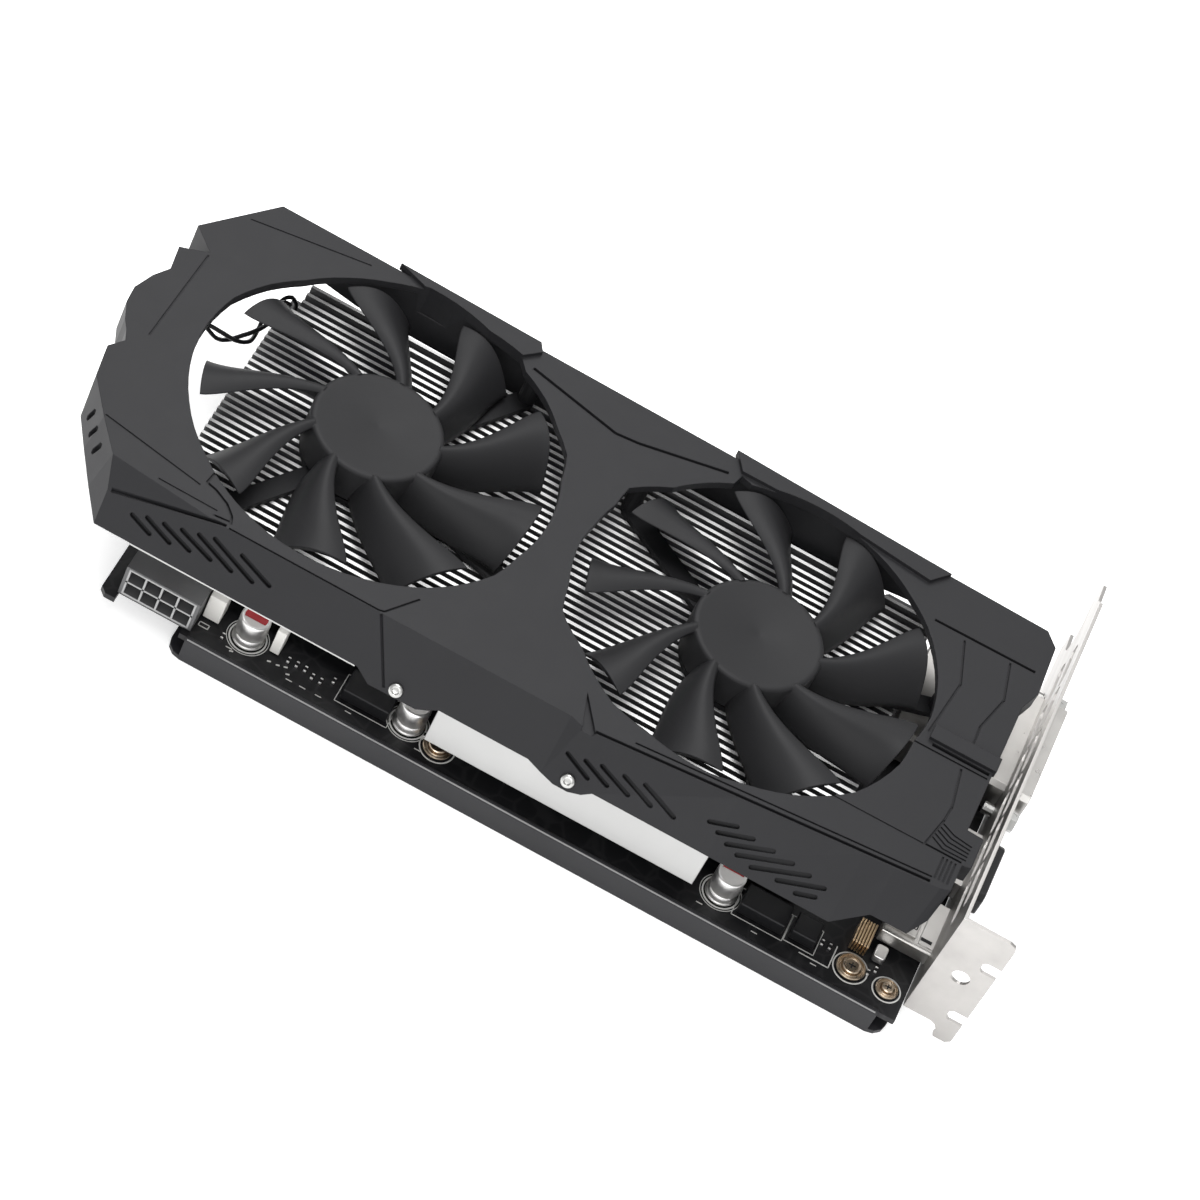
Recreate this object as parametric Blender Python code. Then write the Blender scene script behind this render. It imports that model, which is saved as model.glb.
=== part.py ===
"""A dual-fan, dual-slot graphics card, lying on its backplate with the fans facing up.

+X runs along the card towards the slot bracket, +Y towards the edge contacts and +Z out of the fans.
Sizes below are millimetres in the card's own frame: x = 0 is the bracket's outer face, y = 0 the inner
face of its screw flange, z = 0 the top plane of the shroud.
"""

import math

import bmesh
import bpy
from mathutils import Matrix, Vector

MM = 0.001
CARD_DATUM = (111.25, -53.75, 41.6)  # puts the card's footprint over the world origin, resting on z = 0

GAP = 0.3  # clearance between neighbouring pieces
WELD = 0.002

# Stack of levels, from the table up
BACKPLATE_BOTTOM = -41.6
BACKPLATE_TOP = -40.4
BOARD_BOTTOM = -36.6
BOARD_TOP = -35.0
PART_SEAT = BOARD_TOP + GAP  # underside of what is soldered on the board
BASE_BOTTOM = -30.5
BASE_TOP = -27.0
FIN_TOP = -14.0

# Fans
FAN_LEFT = (-170.5, 46.9)
FAN_RIGHT = (-70.3, 46.5)
HUB_RADIUS = 16.1
HUB_WALL = 1.6
HUB_TOP = -1.0
HUB_BOTTOM = -10.8
BLADE_COUNT = 9
BLADE_ROOT_RADIUS = HUB_RADIUS - 0.9
BLADE_TIP_RADIUS = 42.3
BLADE_STATIONS = 7
BLADE_STEPS = 7
BLADE_SWEEP = 27.5
BLADE_BEND = 1.5
BLADE_CHORD_ROOT = 20.5
BLADE_CHORD_TIP = 24.5
BLADE_HIGH = -1.6
BLADE_LOW = -10.2
BLADE_FALL = 2.4
BLADE_ARCH = 1.2
BLADE_THIN = 0.35
BLADE_THICK = 0.7
LEFT_PHASE = 4.0
RIGHT_PHASE = -1.0
SHAFT_RADIUS = 1.47
BORE_CLEARANCE = 0.05
FRAME_BOTTOM = -13.2
FRAME_TOP = -11.7
FRAME_RADIUS = 15.7
FRAME_LIP = FRAME_BOTTOM + 0.5
SLEEVE_RADIUS = 3.9
SLEEVE_TOP = -5.6
STATOR = ((4.2, -9.6), (10.8, -9.6), (10.8, -5.2), (4.2, -5.2))
ARMS = {"left": (58.0, 238.0, 342.0), "right": (20.0, 147.0, 297.0)}
ARM_WIDTH = 5.0
ARM_REACH = 48.2
POST_RADIUS = 2.2

# Shroud
WALL = 2.0
SKIRT = -11.8
SKIRT_FOOT = -10.6  # y of the front skirt's lower edge
BACK_SKIRT = -17.0

# Heat sink
FIN_PITCH = 2.2487
FIN_THICKNESS = 0.9
LAST_EVEN_FIN = 78.47  # centre line of the last fin at the common pitch
BACK_FINS = (80.61, 82.95, 85.8, 88.75)
SINK_LEFT = -205.8
SINK_RIGHT = -33.5
SINK_FRONT = 5.2
SINK_BACK = 89.3
SIDE_BLOCK = (-126.6, -57.0, -4.5)  # left end, right end, outer face of the block that fills the front
PIPE_WIDTH = 8.0
PIPE_RECESS = 2.7
PIPE_HEIGHT = 2.4
PIPE_INSET = 12.0
PIPE_ROWS = (33.0, 60.0)
LEAD_NOTCH = (-206.8, -203.0, 79.45, 90.3)  # corner left out of the block for the fan leads
COLD_PLATE_HALF = 26.0
COLD_PLATE_THICKNESS = 1.6

# Board
BOARD_LEFT = -208.0
BOARD_RIGHT = -1.4
BOARD_FRONT = -7.7
BOARD_BACK = 102.2
BOARD_STEP_X = -32.5
BOARD_STEP_Y = 93.1
FINGER_EDGE = 110.4
GPU = (-112.0, 47.0)

# Bracket
PLATE = 0.86
BRACKET_BOTTOM = -38.7
BRACKET_LENGTH = 120.0
FLANGE_DEPTH = 13.0
NOTCHES = (-11.7, -32.0)

DARK = (0.018, 0.018, 0.02)
LOOKS = {
    "shroud_plastic": ((0.032, 0.032, 0.034), 0.52, 0.0),
    "fan_plastic": ((0.024, 0.024, 0.026), 0.48, 0.0),
    "frame_plastic": ((0.015, 0.015, 0.016), 0.6, 0.0),
    "steel": ((0.55, 0.55, 0.56), 0.3, 1.0),
    "bracket_steel": ((0.62, 0.61, 0.6), 0.34, 1.0),
    "fin_aluminium": ((0.72, 0.72, 0.71), 0.36, 1.0),
    "copper": ((0.72, 0.36, 0.2), 0.3, 1.0),
    "coil_copper": ((0.5, 0.22, 0.08), 0.4, 1.0),
    "board": ((0.012, 0.013, 0.014), 0.42, 0.0),
    "backplate": ((0.02, 0.02, 0.022), 0.45, 0.3),
    "connector_plastic": (DARK, 0.5, 0.0),
    "header_plastic": ((0.8, 0.79, 0.75), 0.5, 0.0),
    "shell_metal": ((0.68, 0.67, 0.65), 0.3, 1.0),
    "chip": ((0.02, 0.02, 0.021), 0.55, 0.0),
    "substrate": ((0.03, 0.12, 0.06), 0.45, 0.0),
    "silicon": ((0.2, 0.21, 0.24), 0.15, 0.4),
    "can_aluminium": ((0.66, 0.65, 0.64), 0.28, 1.0),
    "gold": ((0.62, 0.45, 0.22), 0.3, 1.0),
    "wire": ((0.01, 0.01, 0.011), 0.45, 0.0),
}


def clear_scene():
    for obj in list(bpy.data.objects):
        bpy.data.objects.remove(obj, do_unlink=True)


def look(name):
    found = bpy.data.materials.get(name)
    if found:
        return found
    colour, roughness, metallic = LOOKS[name]
    material = bpy.data.materials.new(name)
    material.use_nodes = True
    shader = material.node_tree.nodes["Principled BSDF"]
    shader.inputs["Base Color"].default_value = (*colour, 1.0)
    shader.inputs["Roughness"].default_value = roughness
    shader.inputs["Metallic"].default_value = metallic
    return material


def add_datum():
    datum = bpy.data.objects.new("card_datum", None)
    datum.location = [value * MM for value in CARD_DATUM]
    bpy.context.scene.collection.objects.link(datum)
    return datum


# Outlines, in millimetres


def circle(centre, radius, steps=24):
    x, y = centre
    angles = [2 * math.pi * i / steps for i in range(steps)]
    return [(x + radius * math.cos(angle), y + radius * math.sin(angle)) for angle in angles]


def rectangle(x0, x1, y0, y1):
    return [(x0, y0), (x1, y0), (x1, y1), (x0, y1)]


def rounded(x0, x1, y0, y1, radius, steps=3):
    corners = ((x1 - radius, y1 - radius, 0), (x0 + radius, y1 - radius, 90))
    corners += ((x0 + radius, y0 + radius, 180), (x1 - radius, y0 + radius, 270))
    points = []
    for cx, cy, start in corners:
        for i in range(steps + 1):
            angle = math.radians(start + 90 * i / steps)
            points.append((cx + radius * math.cos(angle), cy + radius * math.sin(angle)))
    return points


def slot_outline(start, end, width, steps=4):
    """A round-ended slot between two points."""
    heading = math.atan2(end[1] - start[1], end[0] - start[0])
    points = []
    for centre, first in ((end, heading - math.pi / 2), (start, heading + math.pi / 2)):
        for i in range(steps + 1):
            angle = first + math.pi * i / steps
            points.append((centre[0] + width / 2 * math.cos(angle), centre[1] + width / 2 * math.sin(angle)))
    return points


# Solids


def stack_rings(shape, rings):
    """Joins rings of equal length into a closed skin with both ends filled."""
    made = [[shape.verts.new(point) for point in ring] for ring in rings]
    count = len(rings[0])
    for lower, upper in zip(made, made[1:]):
        for i in range(count):
            j = (i + 1) % count
            shape.faces.new((lower[i], lower[j], upper[j], upper[i]))
    shape.faces.new(list(reversed(made[0])))
    shape.faces.new(made[-1])


def add_prism(shape, outline, z0, z1):
    stack_rings(shape, [[(x, y, z0) for x, y in outline], [(x, y, z1) for x, y in outline]])


def add_prism_x(shape, outline, x0, x1):
    """Outline is (y, z); the prism runs along X."""
    stack_rings(shape, [[(x0, y, z) for y, z in outline], [(x1, y, z) for y, z in outline]])


def add_prism_y(shape, outline, y0, y1):
    """Outline is (x, z); the prism runs along Y."""
    stack_rings(shape, [[(x, y0, z) for x, z in outline], [(x, y1, z) for x, z in outline]])


def add_box(shape, x0, x1, y0, y1, z0, z1):
    add_prism(shape, rectangle(x0, x1, y0, y1), z0, z1)


def add_bar(shape, start, end, width, height):
    """A square bar whose axis joins two points."""
    start, end = Vector(start), Vector(end)
    along = (end - start).normalized()
    across = along.cross(Vector((0, 0, 1))).normalized()
    upward = across.cross(along)
    corners = ((-1, -1), (1, -1), (1, 1), (-1, 1))
    offsets = [across * (a * width / 2) + upward * (b * height / 2) for a, b in corners]
    stack_rings(shape, [[start + offset for offset in offsets], [end + offset for offset in offsets]])


def add_lathe(shape, profile, steps=36):
    """Turns a closed (radius, z) profile about Z."""
    rings = []
    for i in range(steps):
        angle = 2 * math.pi * i / steps
        rings.append([shape.verts.new((r * math.cos(angle), r * math.sin(angle), z)) for r, z in profile])
    count = len(profile)
    for i in range(steps):
        near, far = rings[i], rings[(i + 1) % steps]
        for a in range(count):
            b = (a + 1) % count
            shape.faces.new((near[a], near[b], far[b], far[a]))


def add_turned(shape, centre, profile, steps=20):
    """Solid of revolution: rings of the open (radius, z) profile stacked on a vertical axis."""
    rings = [[(x, y, z) for x, y in circle(centre, radius, steps)] for radius, z in profile]
    stack_rings(shape, rings)


def shape_of(build, *arguments, **options):
    shape = bmesh.new()
    build(shape, *arguments, **options)
    return shape


def make(name, shape, material, at=(0.0, 0.0, 0.0), smooth=None):
    bmesh.ops.recalc_face_normals(shape, faces=shape.faces)
    bmesh.ops.scale(shape, vec=(MM, MM, MM), verts=shape.verts)
    mesh = bpy.data.meshes.new(name)
    shape.to_mesh(mesh)
    shape.free()
    mesh.materials.append(look(material))
    obj = bpy.data.objects.new(name, mesh)
    obj.location = [value * MM for value in at]
    obj.parent = bpy.data.objects["card_datum"]
    bpy.context.scene.collection.objects.link(obj)
    if smooth:
        mesh.shade_smooth()
        mesh.set_sharp_from_angle(angle=math.radians(smooth))
    return obj


def bake(obj):
    """Replaces the object's mesh by what its modifiers make of it."""
    graph = bpy.context.evaluated_depsgraph_get()
    mesh = bpy.data.meshes.new_from_object(obj.evaluated_get(graph))
    obj.modifiers.clear()
    obj.data = mesh
    weld(mesh)


def weld(mesh):
    """Draws together points that a cut left closer than a micrometre."""
    shape = bmesh.new()
    shape.from_mesh(mesh)
    bmesh.ops.remove_doubles(shape, verts=shape.verts, dist=WELD * MM)
    bmesh.ops.dissolve_degenerate(shape, edges=shape.edges, dist=WELD * MM)
    bmesh.ops.triangulate(shape, faces=shape.faces)
    shape.to_mesh(mesh)
    shape.free()


def combine(obj, shape, operation, at=(0.0, 0.0, 0.0)):
    """Cuts a shape from the object, or joins it on."""
    other = make("other_shape", shape, "steel", at)
    other.hide_render = True
    other.display_type = "WIRE"
    modifier = obj.modifiers.new("Boolean", "BOOLEAN")
    modifier.object = other
    modifier.operation = operation
    modifier.solver = "EXACT"
    bake(obj)
    bpy.data.objects.remove(other, do_unlink=True)


def cut(obj, shape, at=(0.0, 0.0, 0.0)):
    combine(obj, shape, "DIFFERENCE", at)


def join(obj, shape, at=(0.0, 0.0, 0.0)):
    combine(obj, shape, "UNION", at)


def cut_each(obj, shapes):
    for shape in shapes:
        cut(obj, shape)


def join_each(obj, shapes):
    for shape in shapes:
        join(obj, shape)


# Shroud

# Corners of the crease where the top folds into the skirt, as (x, y)
CREASE = ((-186.6, -3.2), (-147.6, -3.4), (-98.5, -3.4), (-95.3, -4.9), (-58.0, -1.2), (-27.0, 1.9))
# Lower edge of the skirt, as (x, how far it hangs below the straight edge along the slope)
SKIRT_EDGE = (
    (-186.6, 0.0),
    (-147.0, 0.0),
    (-143.1, 2.5),
    (-131.0, 2.4),
    (-128.5, 1.3),
    (-126.3, 0.0),
    (-103.5, 0.0),
    (-99.5, 1.4),
    (-95.9, 2.5),
    (-92.3, 2.5),
    (-89.3, 1.6),
    (-87.1, 0.0),
    (-58.0, 0.0),
    (-27.0, 0.0),
)
# Each other corner: its place on the top face, then on the lower edge
LEFT_FOLD = ((-214.8, -5.8, -4.8), (-214.2, -10.5, SKIRT))
RIGHT_CORNERS = (
    ((-19.5, 2.6, 0.0), (-19.5, -6.2, -7.9)),
    ((-8.4, 3.7, 0.0), (-10.4, -6.0, -8.0)),
    ((-6.0, 4.6, 0.0), (-7.4, -1.6, -5.6)),
    ((-6.0, 12.8, 0.0), (-6.0, 12.8, -5.0)),
    ((-3.8, 13.2, 0.0), (-3.8, 13.2, -5.0)),
    ((-3.8, 22.8, 0.0), (-3.8, 22.8, -5.0)),
    ((-8.0, 23.0, 0.0), (-8.0, 23.0, -5.0)),
    ((-7.8, 64.9, 0.0), (-7.8, 64.9, -5.0)),
    ((-5.6, 71.0, 0.0), (-5.6, 71.0, -5.0)),
    ((-6.2, 87.0, 0.0), (-6.2, 87.0, -5.0)),
    ((-9.5, 90.8, 0.0), (-9.5, 91.4, -8.0)),
)
BACK_CORNERS = (
    ((-66.0, 92.1, 0.0), (-66.0, 93.4, BACK_SKIRT)),
    ((-94.0, 92.0, 0.0), (-94.0, 93.4, BACK_SKIRT)),
    ((-146.0, 92.8, 0.0), (-146.0, 94.0, BACK_SKIRT)),
    ((-191.7, 93.7, 0.0), (-191.7, 94.8, BACK_SKIRT)),
    ((-217.4, 93.9, 0.0), (-217.4, 94.5, SKIRT)),
)
LEFT_CORNERS = (
    ((-231.5, 75.0, 0.0), (-231.7, 75.2, -10.0)),
    ((-225.4, 69.0, 0.0), (-232.0, 70.8, -10.0)),
    ((-232.3, 66.0, 0.0), (-232.4, 66.0, -10.0)),
    ((-231.0, 58.5, 0.0), (-231.2, 58.5, -10.0)),
    ((-233.5, 54.0, 0.0), (-233.7, 54.0, -10.0)),
    ((-235.4, 48.0, 0.0), (-235.5, 48.0, -10.0)),
    ((-235.0, 43.0, 0.0), (-235.1, 43.0, -10.0)),
    ((-233.0, 38.0, 0.0), (-233.1, 38.0, -10.0)),
    ((-231.3, 35.2, 0.0), (-231.4, 35.2, -10.0)),
    ((-230.0, 32.0, 0.0), (-230.1, 32.0, -10.0)),
    ((-232.7, 28.0, 0.0), (-232.5, 28.0, SKIRT)),
    ((-231.0, 18.7, 0.0), (-230.5, 15.6, SKIRT)),
    ((-224.1, 8.7, 0.0), (-225.6, 7.4, SKIRT)),
    ((-217.6, 0.1, 0.0), (-220.0, -1.6, SKIRT)),
)

# Edge of each fan opening about its fan's centre, as (degrees, radius)
LEFT_OPENING = (
    (2.9, 45.2),
    (14.9, 44.5),
    (25.4, 45.6),
    (35.2, 44.4),
    (46.6, 44.2),
    (58.3, 43.6),
    (63.0, 45.3),
    (75.8, 43.6),
    (98.3, 45.9),
    (111.0, 44.5),
    (124.0, 43.9),
    (138.6, 43.7),
    (150.0, 45.0),
    (163.6, 46.2),
    (182.0, 46.0),
    (209.0, 45.2),
    (229.0, 45.0),
    (260.0, 46.2),
    (289.0, 46.6),
    (308.0, 47.1),
    (329.0, 47.2),
    (339.5, 45.9),
    (351.3, 45.6),
)
RIGHT_OPENING = (
    (2.3, 44.0),
    (18.4, 43.9),
    (37.4, 43.6),
    (49.2, 43.1),
    (72.6, 43.2),
    (105.4, 43.3),
    (113.5, 43.8),
    (116.5, 46.0),
    (119.6, 43.4),
    (140.9, 43.1),
    (154.6, 47.1),
    (162.7, 45.5),
    (174.6, 45.7),
    (182.0, 46.4),
    (199.7, 46.6),
    (208.7, 48.3),
    (212.4, 47.9),
    (221.8, 46.0),
    (241.5, 46.5),
    (253.3, 45.1),
    (274.5, 45.5),
    (285.5, 44.9),
    (320.0, 46.2),
    (339.5, 44.8),
    (350.3, 43.3),
)
OPENING_STEP = 5.0  # most degrees between two points of an opening's edge

# Slots in the skirt: each end as (x, how far up the slope from the straight lower edge)
SLOTS = (
    ((-207.3, 6.1), (-202.0, 4.1)),
    ((-204.0, 7.2), (-197.1, 4.5)),
    ((-200.0, 7.8), (-192.3, 5.1)),
    ((-195.8, 8.6), (-187.2, 5.6)),
    ((-191.9, 9.5), (-181.9, 5.6)),
    ((-188.3, 10.4), (-176.6, 5.7)),
    ((-181.2, 10.0), (-172.8, 6.8)),
    ((-96.2, 5.8), (-89.7, 2.7)),
    ((-91.9, 6.3), (-85.1, 3.3)),
    ((-88.1, 7.0), (-80.0, 3.6)),
    ((-82.6, 7.3), (-74.4, 3.9)),
    ((-77.6, 7.7), (-68.6, 4.1)),
    ((-61.1, 7.2), (-55.1, 9.1)),
    ((-58.3, 5.9), (-50.6, 8.3)),
    ((-55.3, 4.5), (-45.3, 8.0)),
    ((-52.1, 3.4), (-40.2, 7.6)),
    ((-48.0, 2.5), (-35.6, 7.0)),
    ((-41.5, 2.7), (-31.3, 6.1)),
    ((-36.5, 2.1), (-32.2, 3.4)),
)
SLOT_WIDTH = 1.15
SLOT_DEPTH = 1.6
LUG_SCREWS = {"left": (-136.8, -0.5), "right": (-93.3, 0.1)}  # x, up the slope
LUG_HOLE_RADIUS = 1.12
LUG_SHANK_RADIUS = 0.9
LUG_HEAD_RADIUS = 1.7
LUG_HEAD_HEIGHT = 1.0

# Panel lines cut into the top: each run of points, with its width and depth
PANEL_LINES = (
    (0.5, 0.5, ((-186.6, -2.9), (-148.5, -3.0), (-147.2, -2.6), (-141.8, 5.5))),
    (0.6, 0.6, ((-186.8, -1.6), (-187.6, 0.6), (-190.0, 3.2), (-193.8, 5.3), (-196.4, 6.0))),
    (0.6, 0.6, ((-196.4, 6.0), (-196.0, 9.6), (-190.6, 8.0))),
    (0.4, 0.3, ((-224.0, 9.4), (-197.4, 4.4))),
    (0.4, 0.3, ((-206.0, 0.2), (-191.0, 0.0))),
    (0.4, 0.3, ((-222.0, 85.0), (-192.0, 90.5))),
    (0.4, 0.3, ((-225.4, 68.0), (-226.2, 37.0))),
    (0.9, 0.8, ((-146.4, 86.2), (-122.0, 80.2), (-116.0, 80.9), (-94.0, 86.4))),
    (0.9, 0.9, ((-93.0, -4.1), (-11.2, 4.2))),
    (0.5, 0.5, ((-84.0, -1.4), (-11.2, 5.6))),
    (0.8, 0.8, ((-35.0, 76.4), (-8.4, 76.8))),
    (0.5, 0.5, ((-26.6, 75.0), (-23.2, 62.0), (-25.4, 44.0))),
    (0.5, 0.5, ((-14.6, 75.6), (-12.4, 64.0), (-15.0, 53.0), (-14.8, 47.0))),
    (0.5, 0.5, ((-15.0, 38.6), (-13.4, 27.0), (-13.8, 22.4), (-15.7, 13.4))),
    (0.4, 0.3, ((-40.0, 12.9), (-16.0, 13.1))),
    (0.6, 0.6, ((-15.7, 13.3), (-6.4, 13.4))),
    (0.5, 0.5, ((-27.6, 39.4), (-8.6, 39.6))),
)
SIDE_SLOT = (-23.4, -8.6, 40.6, 41.6)  # dark slot below the raised bar
SUNK_TRIANGLE = ((-98.8, 5.0), (-95.7, -6.4), (-92.8, -4.6))
SUNK_DEPTH = 0.9
RAISED_TABS = (
    ((-186.2, 95.0), (-177.1, 91.4), (-150.8, 86.6), (-146.4, 91.3), (-147.9, 94.0)),
    ((-94.6, 93.6), (-91.3, 88.2), (-60.0, 88.4), (-40.0, 86.0), (-36.0, 91.2)),
    ((-24.7, 41.9), (-7.4, 42.0), (-7.4, 46.4), (-24.7, 46.2)),
)
TAB_RISE = 1.1
END_SLOT_SHARES = (0.2, 0.44, 0.68)  # places along the end wall
END_SLOT_LEVEL = -6.2
END_SLOT_LEAN = 0.3
END_SLOT_HEXAGON = ((-0.7, -2.2), (0.0, -2.9), (0.7, -2.2), (0.7, 2.2), (0.0, 2.9), (-0.7, 2.2))
# The two lines along the folded corner and the one down the skirt, as (start, end, width, height)
FOLD_LINES = (
    ((-214.0, -5.5, -4.6), (-187.4, -2.6, -0.2), 0.8, 1.4),
    ((-214.0, -4.0, -4.3), (-187.4, -1.1, 0.1), 0.5, 0.9),
)
SKIRT_LINE = ((-147.6, 13.6), (-139.5, -1.4))
RIB_WIDTH = 0.45
RIB_HEIGHT = 0.8
CURVED_RIBS = 5
CURVED_RIB_STOPS = ((-13.6, 21.2), (-10.4, 19.6), (-5.6, 18.9))  # the uppermost rib
CURVED_RIB_STEPS = ((-0.3, -1.25), (-0.3, -1.3), (0.0, -1.1))  # from each rib to the next
UPRIGHT_RIBS = (-10.6, -9.55, -8.5, -7.45)
UPRIGHT_RIB_ENDS = (5.6, 12.4)


def between(table, place):
    """Straight-line reading of an ascending table of (place, value)."""
    for (x0, y0), (x1, y1) in zip(table, table[1:]):
        if place <= x1:
            break
    share = min(1.0, max(0.0, (place - x0) / (x1 - x0)))
    return y0 + (y1 - y0) * share


def skirt_run(x):
    """How far the skirt slopes forward at this x."""
    return between(CREASE, x) - SKIRT_FOOT


def on_skirt(x, up):
    """Point of the skirt's outer face, this far up the slope from its straight lower edge."""
    slope = Vector((0.0, skirt_run(x), -SKIRT)).normalized()
    return Vector((x, SKIRT_FOOT, SKIRT)) + slope * up


def square_to_skirt(shape, x):
    """Lays a shape drawn in (x, up the slope, outward) on the skirt as it slopes at this x."""
    lean = Matrix.Rotation(math.atan2(-SKIRT, skirt_run(x)), 4, "X")
    shape.transform(Matrix.Translation((0.0, SKIRT_FOOT, SKIRT)) @ lean)
    return shape


def front_corners():
    corners = []
    for x, hang in SKIRT_EDGE:
        corners.append(((x, between(CREASE, x), 0.0), tuple(on_skirt(x, -hang))))
    return tuple(corners)


def opening_outline(centre, edge):
    points = []
    onward = edge[1:] + ((edge[0][0] + 360.0, edge[0][1]),)
    for (first, near), (last, far) in zip(edge, onward):
        steps = math.ceil((last - first) / OPENING_STEP)
        for i in range(steps):
            angle = math.radians(first + (last - first) * i / steps)
            radius = near + (far - near) * i / steps
            points.append((centre[0] + radius * math.cos(angle), centre[1] + radius * math.sin(angle)))
    return points


def shroud_skin():
    """The outer faces as an open sheet: flat top, folded front left corner, then the skirt."""
    corners = (LEFT_FOLD,) + front_corners() + RIGHT_CORNERS + BACK_CORNERS + LEFT_CORNERS
    shape = bmesh.new()
    top = [shape.verts.new(upper) for upper, _ in corners]
    low = [shape.verts.new(lower) for _, lower in corners]
    shape.faces.new(top[1:])
    shape.faces.new((top[-1], top[0], top[1]))
    for i in range(len(corners)):
        j = (i + 1) % len(corners)
        shape.faces.new((low[i], low[j], top[j]))
        shape.faces.new((low[i], top[j], top[i]))
    return shape


def raised_tabs():
    return [shape_of(add_prism, outline, -1.1, TAB_RISE) for outline in RAISED_TABS]


def skirt_slots():
    shapes = []
    for start, end in SLOTS:
        slot = shape_of(add_prism, slot_outline(start, end, SLOT_WIDTH), -SLOT_DEPTH, 4.0)
        shapes.append(square_to_skirt(slot, (start[0] + end[0]) / 2))
    return shapes


def end_slots():
    """Three leaning slots through the short wall at the front left corner."""
    low_a, low_b = [Vector((*corner[1][:2], 0.0)) for corner in (LEFT_CORNERS[-3], LEFT_CORNERS[-1])]
    along = (low_b - low_a).normalized()
    outward = Vector((along.y, -along.x, 0.0))
    lean = (along * END_SLOT_LEAN + Vector((0.0, 0.0, 1.0))).normalized()
    side = lean.cross(outward)
    ring = [lean * y + side * x for x, y in END_SLOT_HEXAGON]
    shapes = []
    for share in END_SLOT_SHARES:
        middle = low_a.lerp(low_b, share) + Vector((0.0, 0.0, END_SLOT_LEVEL))
        ends = [[middle + outward * reach + point for point in ring] for reach in (-5.0, 5.0)]
        shapes.append(shape_of(stack_rings, ends))
    return shapes


def panel_lines():
    shapes = []
    for width, depth, line in PANEL_LINES:
        for (x0, y0), (x1, y1) in zip(line, line[1:]):
            shapes.append(shape_of(add_bar, (x0, y0, 0.0), (x1, y1, 0.0), width, 2 * depth))
    return shapes


def fold_lines():
    shapes = [shape_of(add_bar, *line) for line in FOLD_LINES]
    upper, lower = [on_skirt(*place) for place in SKIRT_LINE]
    shapes.append(shape_of(add_bar, upper, lower, 0.5, 1.0))
    return shapes


def curved_ribs():
    """Lines that sweep across the corner beside the bracket, then the upright ones next to them."""
    shapes = []
    for i in range(CURVED_RIBS):
        line = []
        for (x, y), (dx, dy) in zip(CURVED_RIB_STOPS, CURVED_RIB_STEPS):
            line.append((x + dx * i, y + dy * i, 0.0))
        for start, end in zip(line, line[1:]):
            shapes.append(shape_of(add_bar, start, end, RIB_WIDTH, RIB_HEIGHT))
    for x in UPRIGHT_RIBS:
        half = RIB_WIDTH / 2
        shapes.append(shape_of(add_box, x - half, x + half, *UPRIGHT_RIB_ENDS, -RIB_HEIGHT / 2, 2.0))
    return shapes


def sunk_areas():
    x0, x1, y0, y1 = SIDE_SLOT
    return [
        shape_of(add_prism, SUNK_TRIANGLE, -SUNK_DEPTH, 4.0),
        shape_of(add_box, x0, x1, y0, y1, -1.2, 4.0),
    ]


def lug_holes():
    shapes = []
    for x, up in LUG_SCREWS.values():
        hole = shape_of(add_prism, circle((x, up), LUG_HOLE_RADIUS, 14), -5.0, 4.0)
        shapes.append(square_to_skirt(hole, x))
    return shapes


def build_shroud():
    shroud = make("fan_shroud", shroud_skin(), "shroud_plastic")
    wall = shroud.modifiers.new("Wall", "SOLIDIFY")
    wall.thickness = WALL * MM
    wall.offset = -1.0
    wall.use_even_offset = True
    shroud.modifiers.new("Flat faces", "TRIANGULATE")
    bake(shroud)
    join_each(shroud, raised_tabs())
    for centre, edge in ((FAN_LEFT, LEFT_OPENING), (FAN_RIGHT, RIGHT_OPENING)):
        cut(shroud, shape_of(add_prism, opening_outline(centre, edge), -8.0, 6.0))
    cut_each(shroud, sunk_areas() + skirt_slots() + end_slots() + lug_holes())
    cut_each(shroud, fold_lines() + curved_ribs() + panel_lines())


def build_shroud_screws():
    """Pan-head screws that stand square to the skirt's lugs."""
    seat = GAP / 2
    head = seat + LUG_HEAD_HEIGHT
    for side, (x, up) in LUG_SCREWS.items():
        profile = (
            (LUG_SHANK_RADIUS, -4.6),
            (LUG_SHANK_RADIUS, seat),
            (LUG_HEAD_RADIUS, seat),
            (LUG_HEAD_RADIUS, head - 0.4),
            (LUG_HEAD_RADIUS - 0.5, head),
        )
        body = shape_of(add_turned, (x, up), profile, 16)
        screw = make(f"shroud_screw_{side}", square_to_skirt(body, x), "steel", smooth=35)
        recess = shape_of(add_box, x - 0.9, x + 0.9, up - 0.2, up + 0.2, head - 0.5, head + 1.0)
        cut(screw, square_to_skirt(recess, x))


# Fans


def blade_section(share, phase):
    """One closed section of a blade: the high edge leads, the low edge trails."""
    radius = BLADE_ROOT_RADIUS + (BLADE_TIP_RADIUS - BLADE_ROOT_RADIUS) * share
    lead = phase - BLADE_SWEEP * (1 - share) ** BLADE_BEND
    chord = BLADE_CHORD_ROOT + (BLADE_CHORD_TIP - BLADE_CHORD_ROOT) * share
    upper, lower = [], []
    for i in range(BLADE_STEPS):
        u = i / (BLADE_STEPS - 1)
        angle = math.radians(lead - chord * u)
        arch = BLADE_ARCH * math.sin(math.pi * u)
        height = BLADE_HIGH + (BLADE_LOW - BLADE_HIGH) * u ** BLADE_FALL + arch
        half = (BLADE_THIN + BLADE_THICK * math.sin(math.pi * u)) / 2
        x, y = radius * math.cos(angle), radius * math.sin(angle)
        upper.append((x, y, height + half))
        lower.append((x, y, height - half))
    return upper + lower[::-1]


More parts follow.
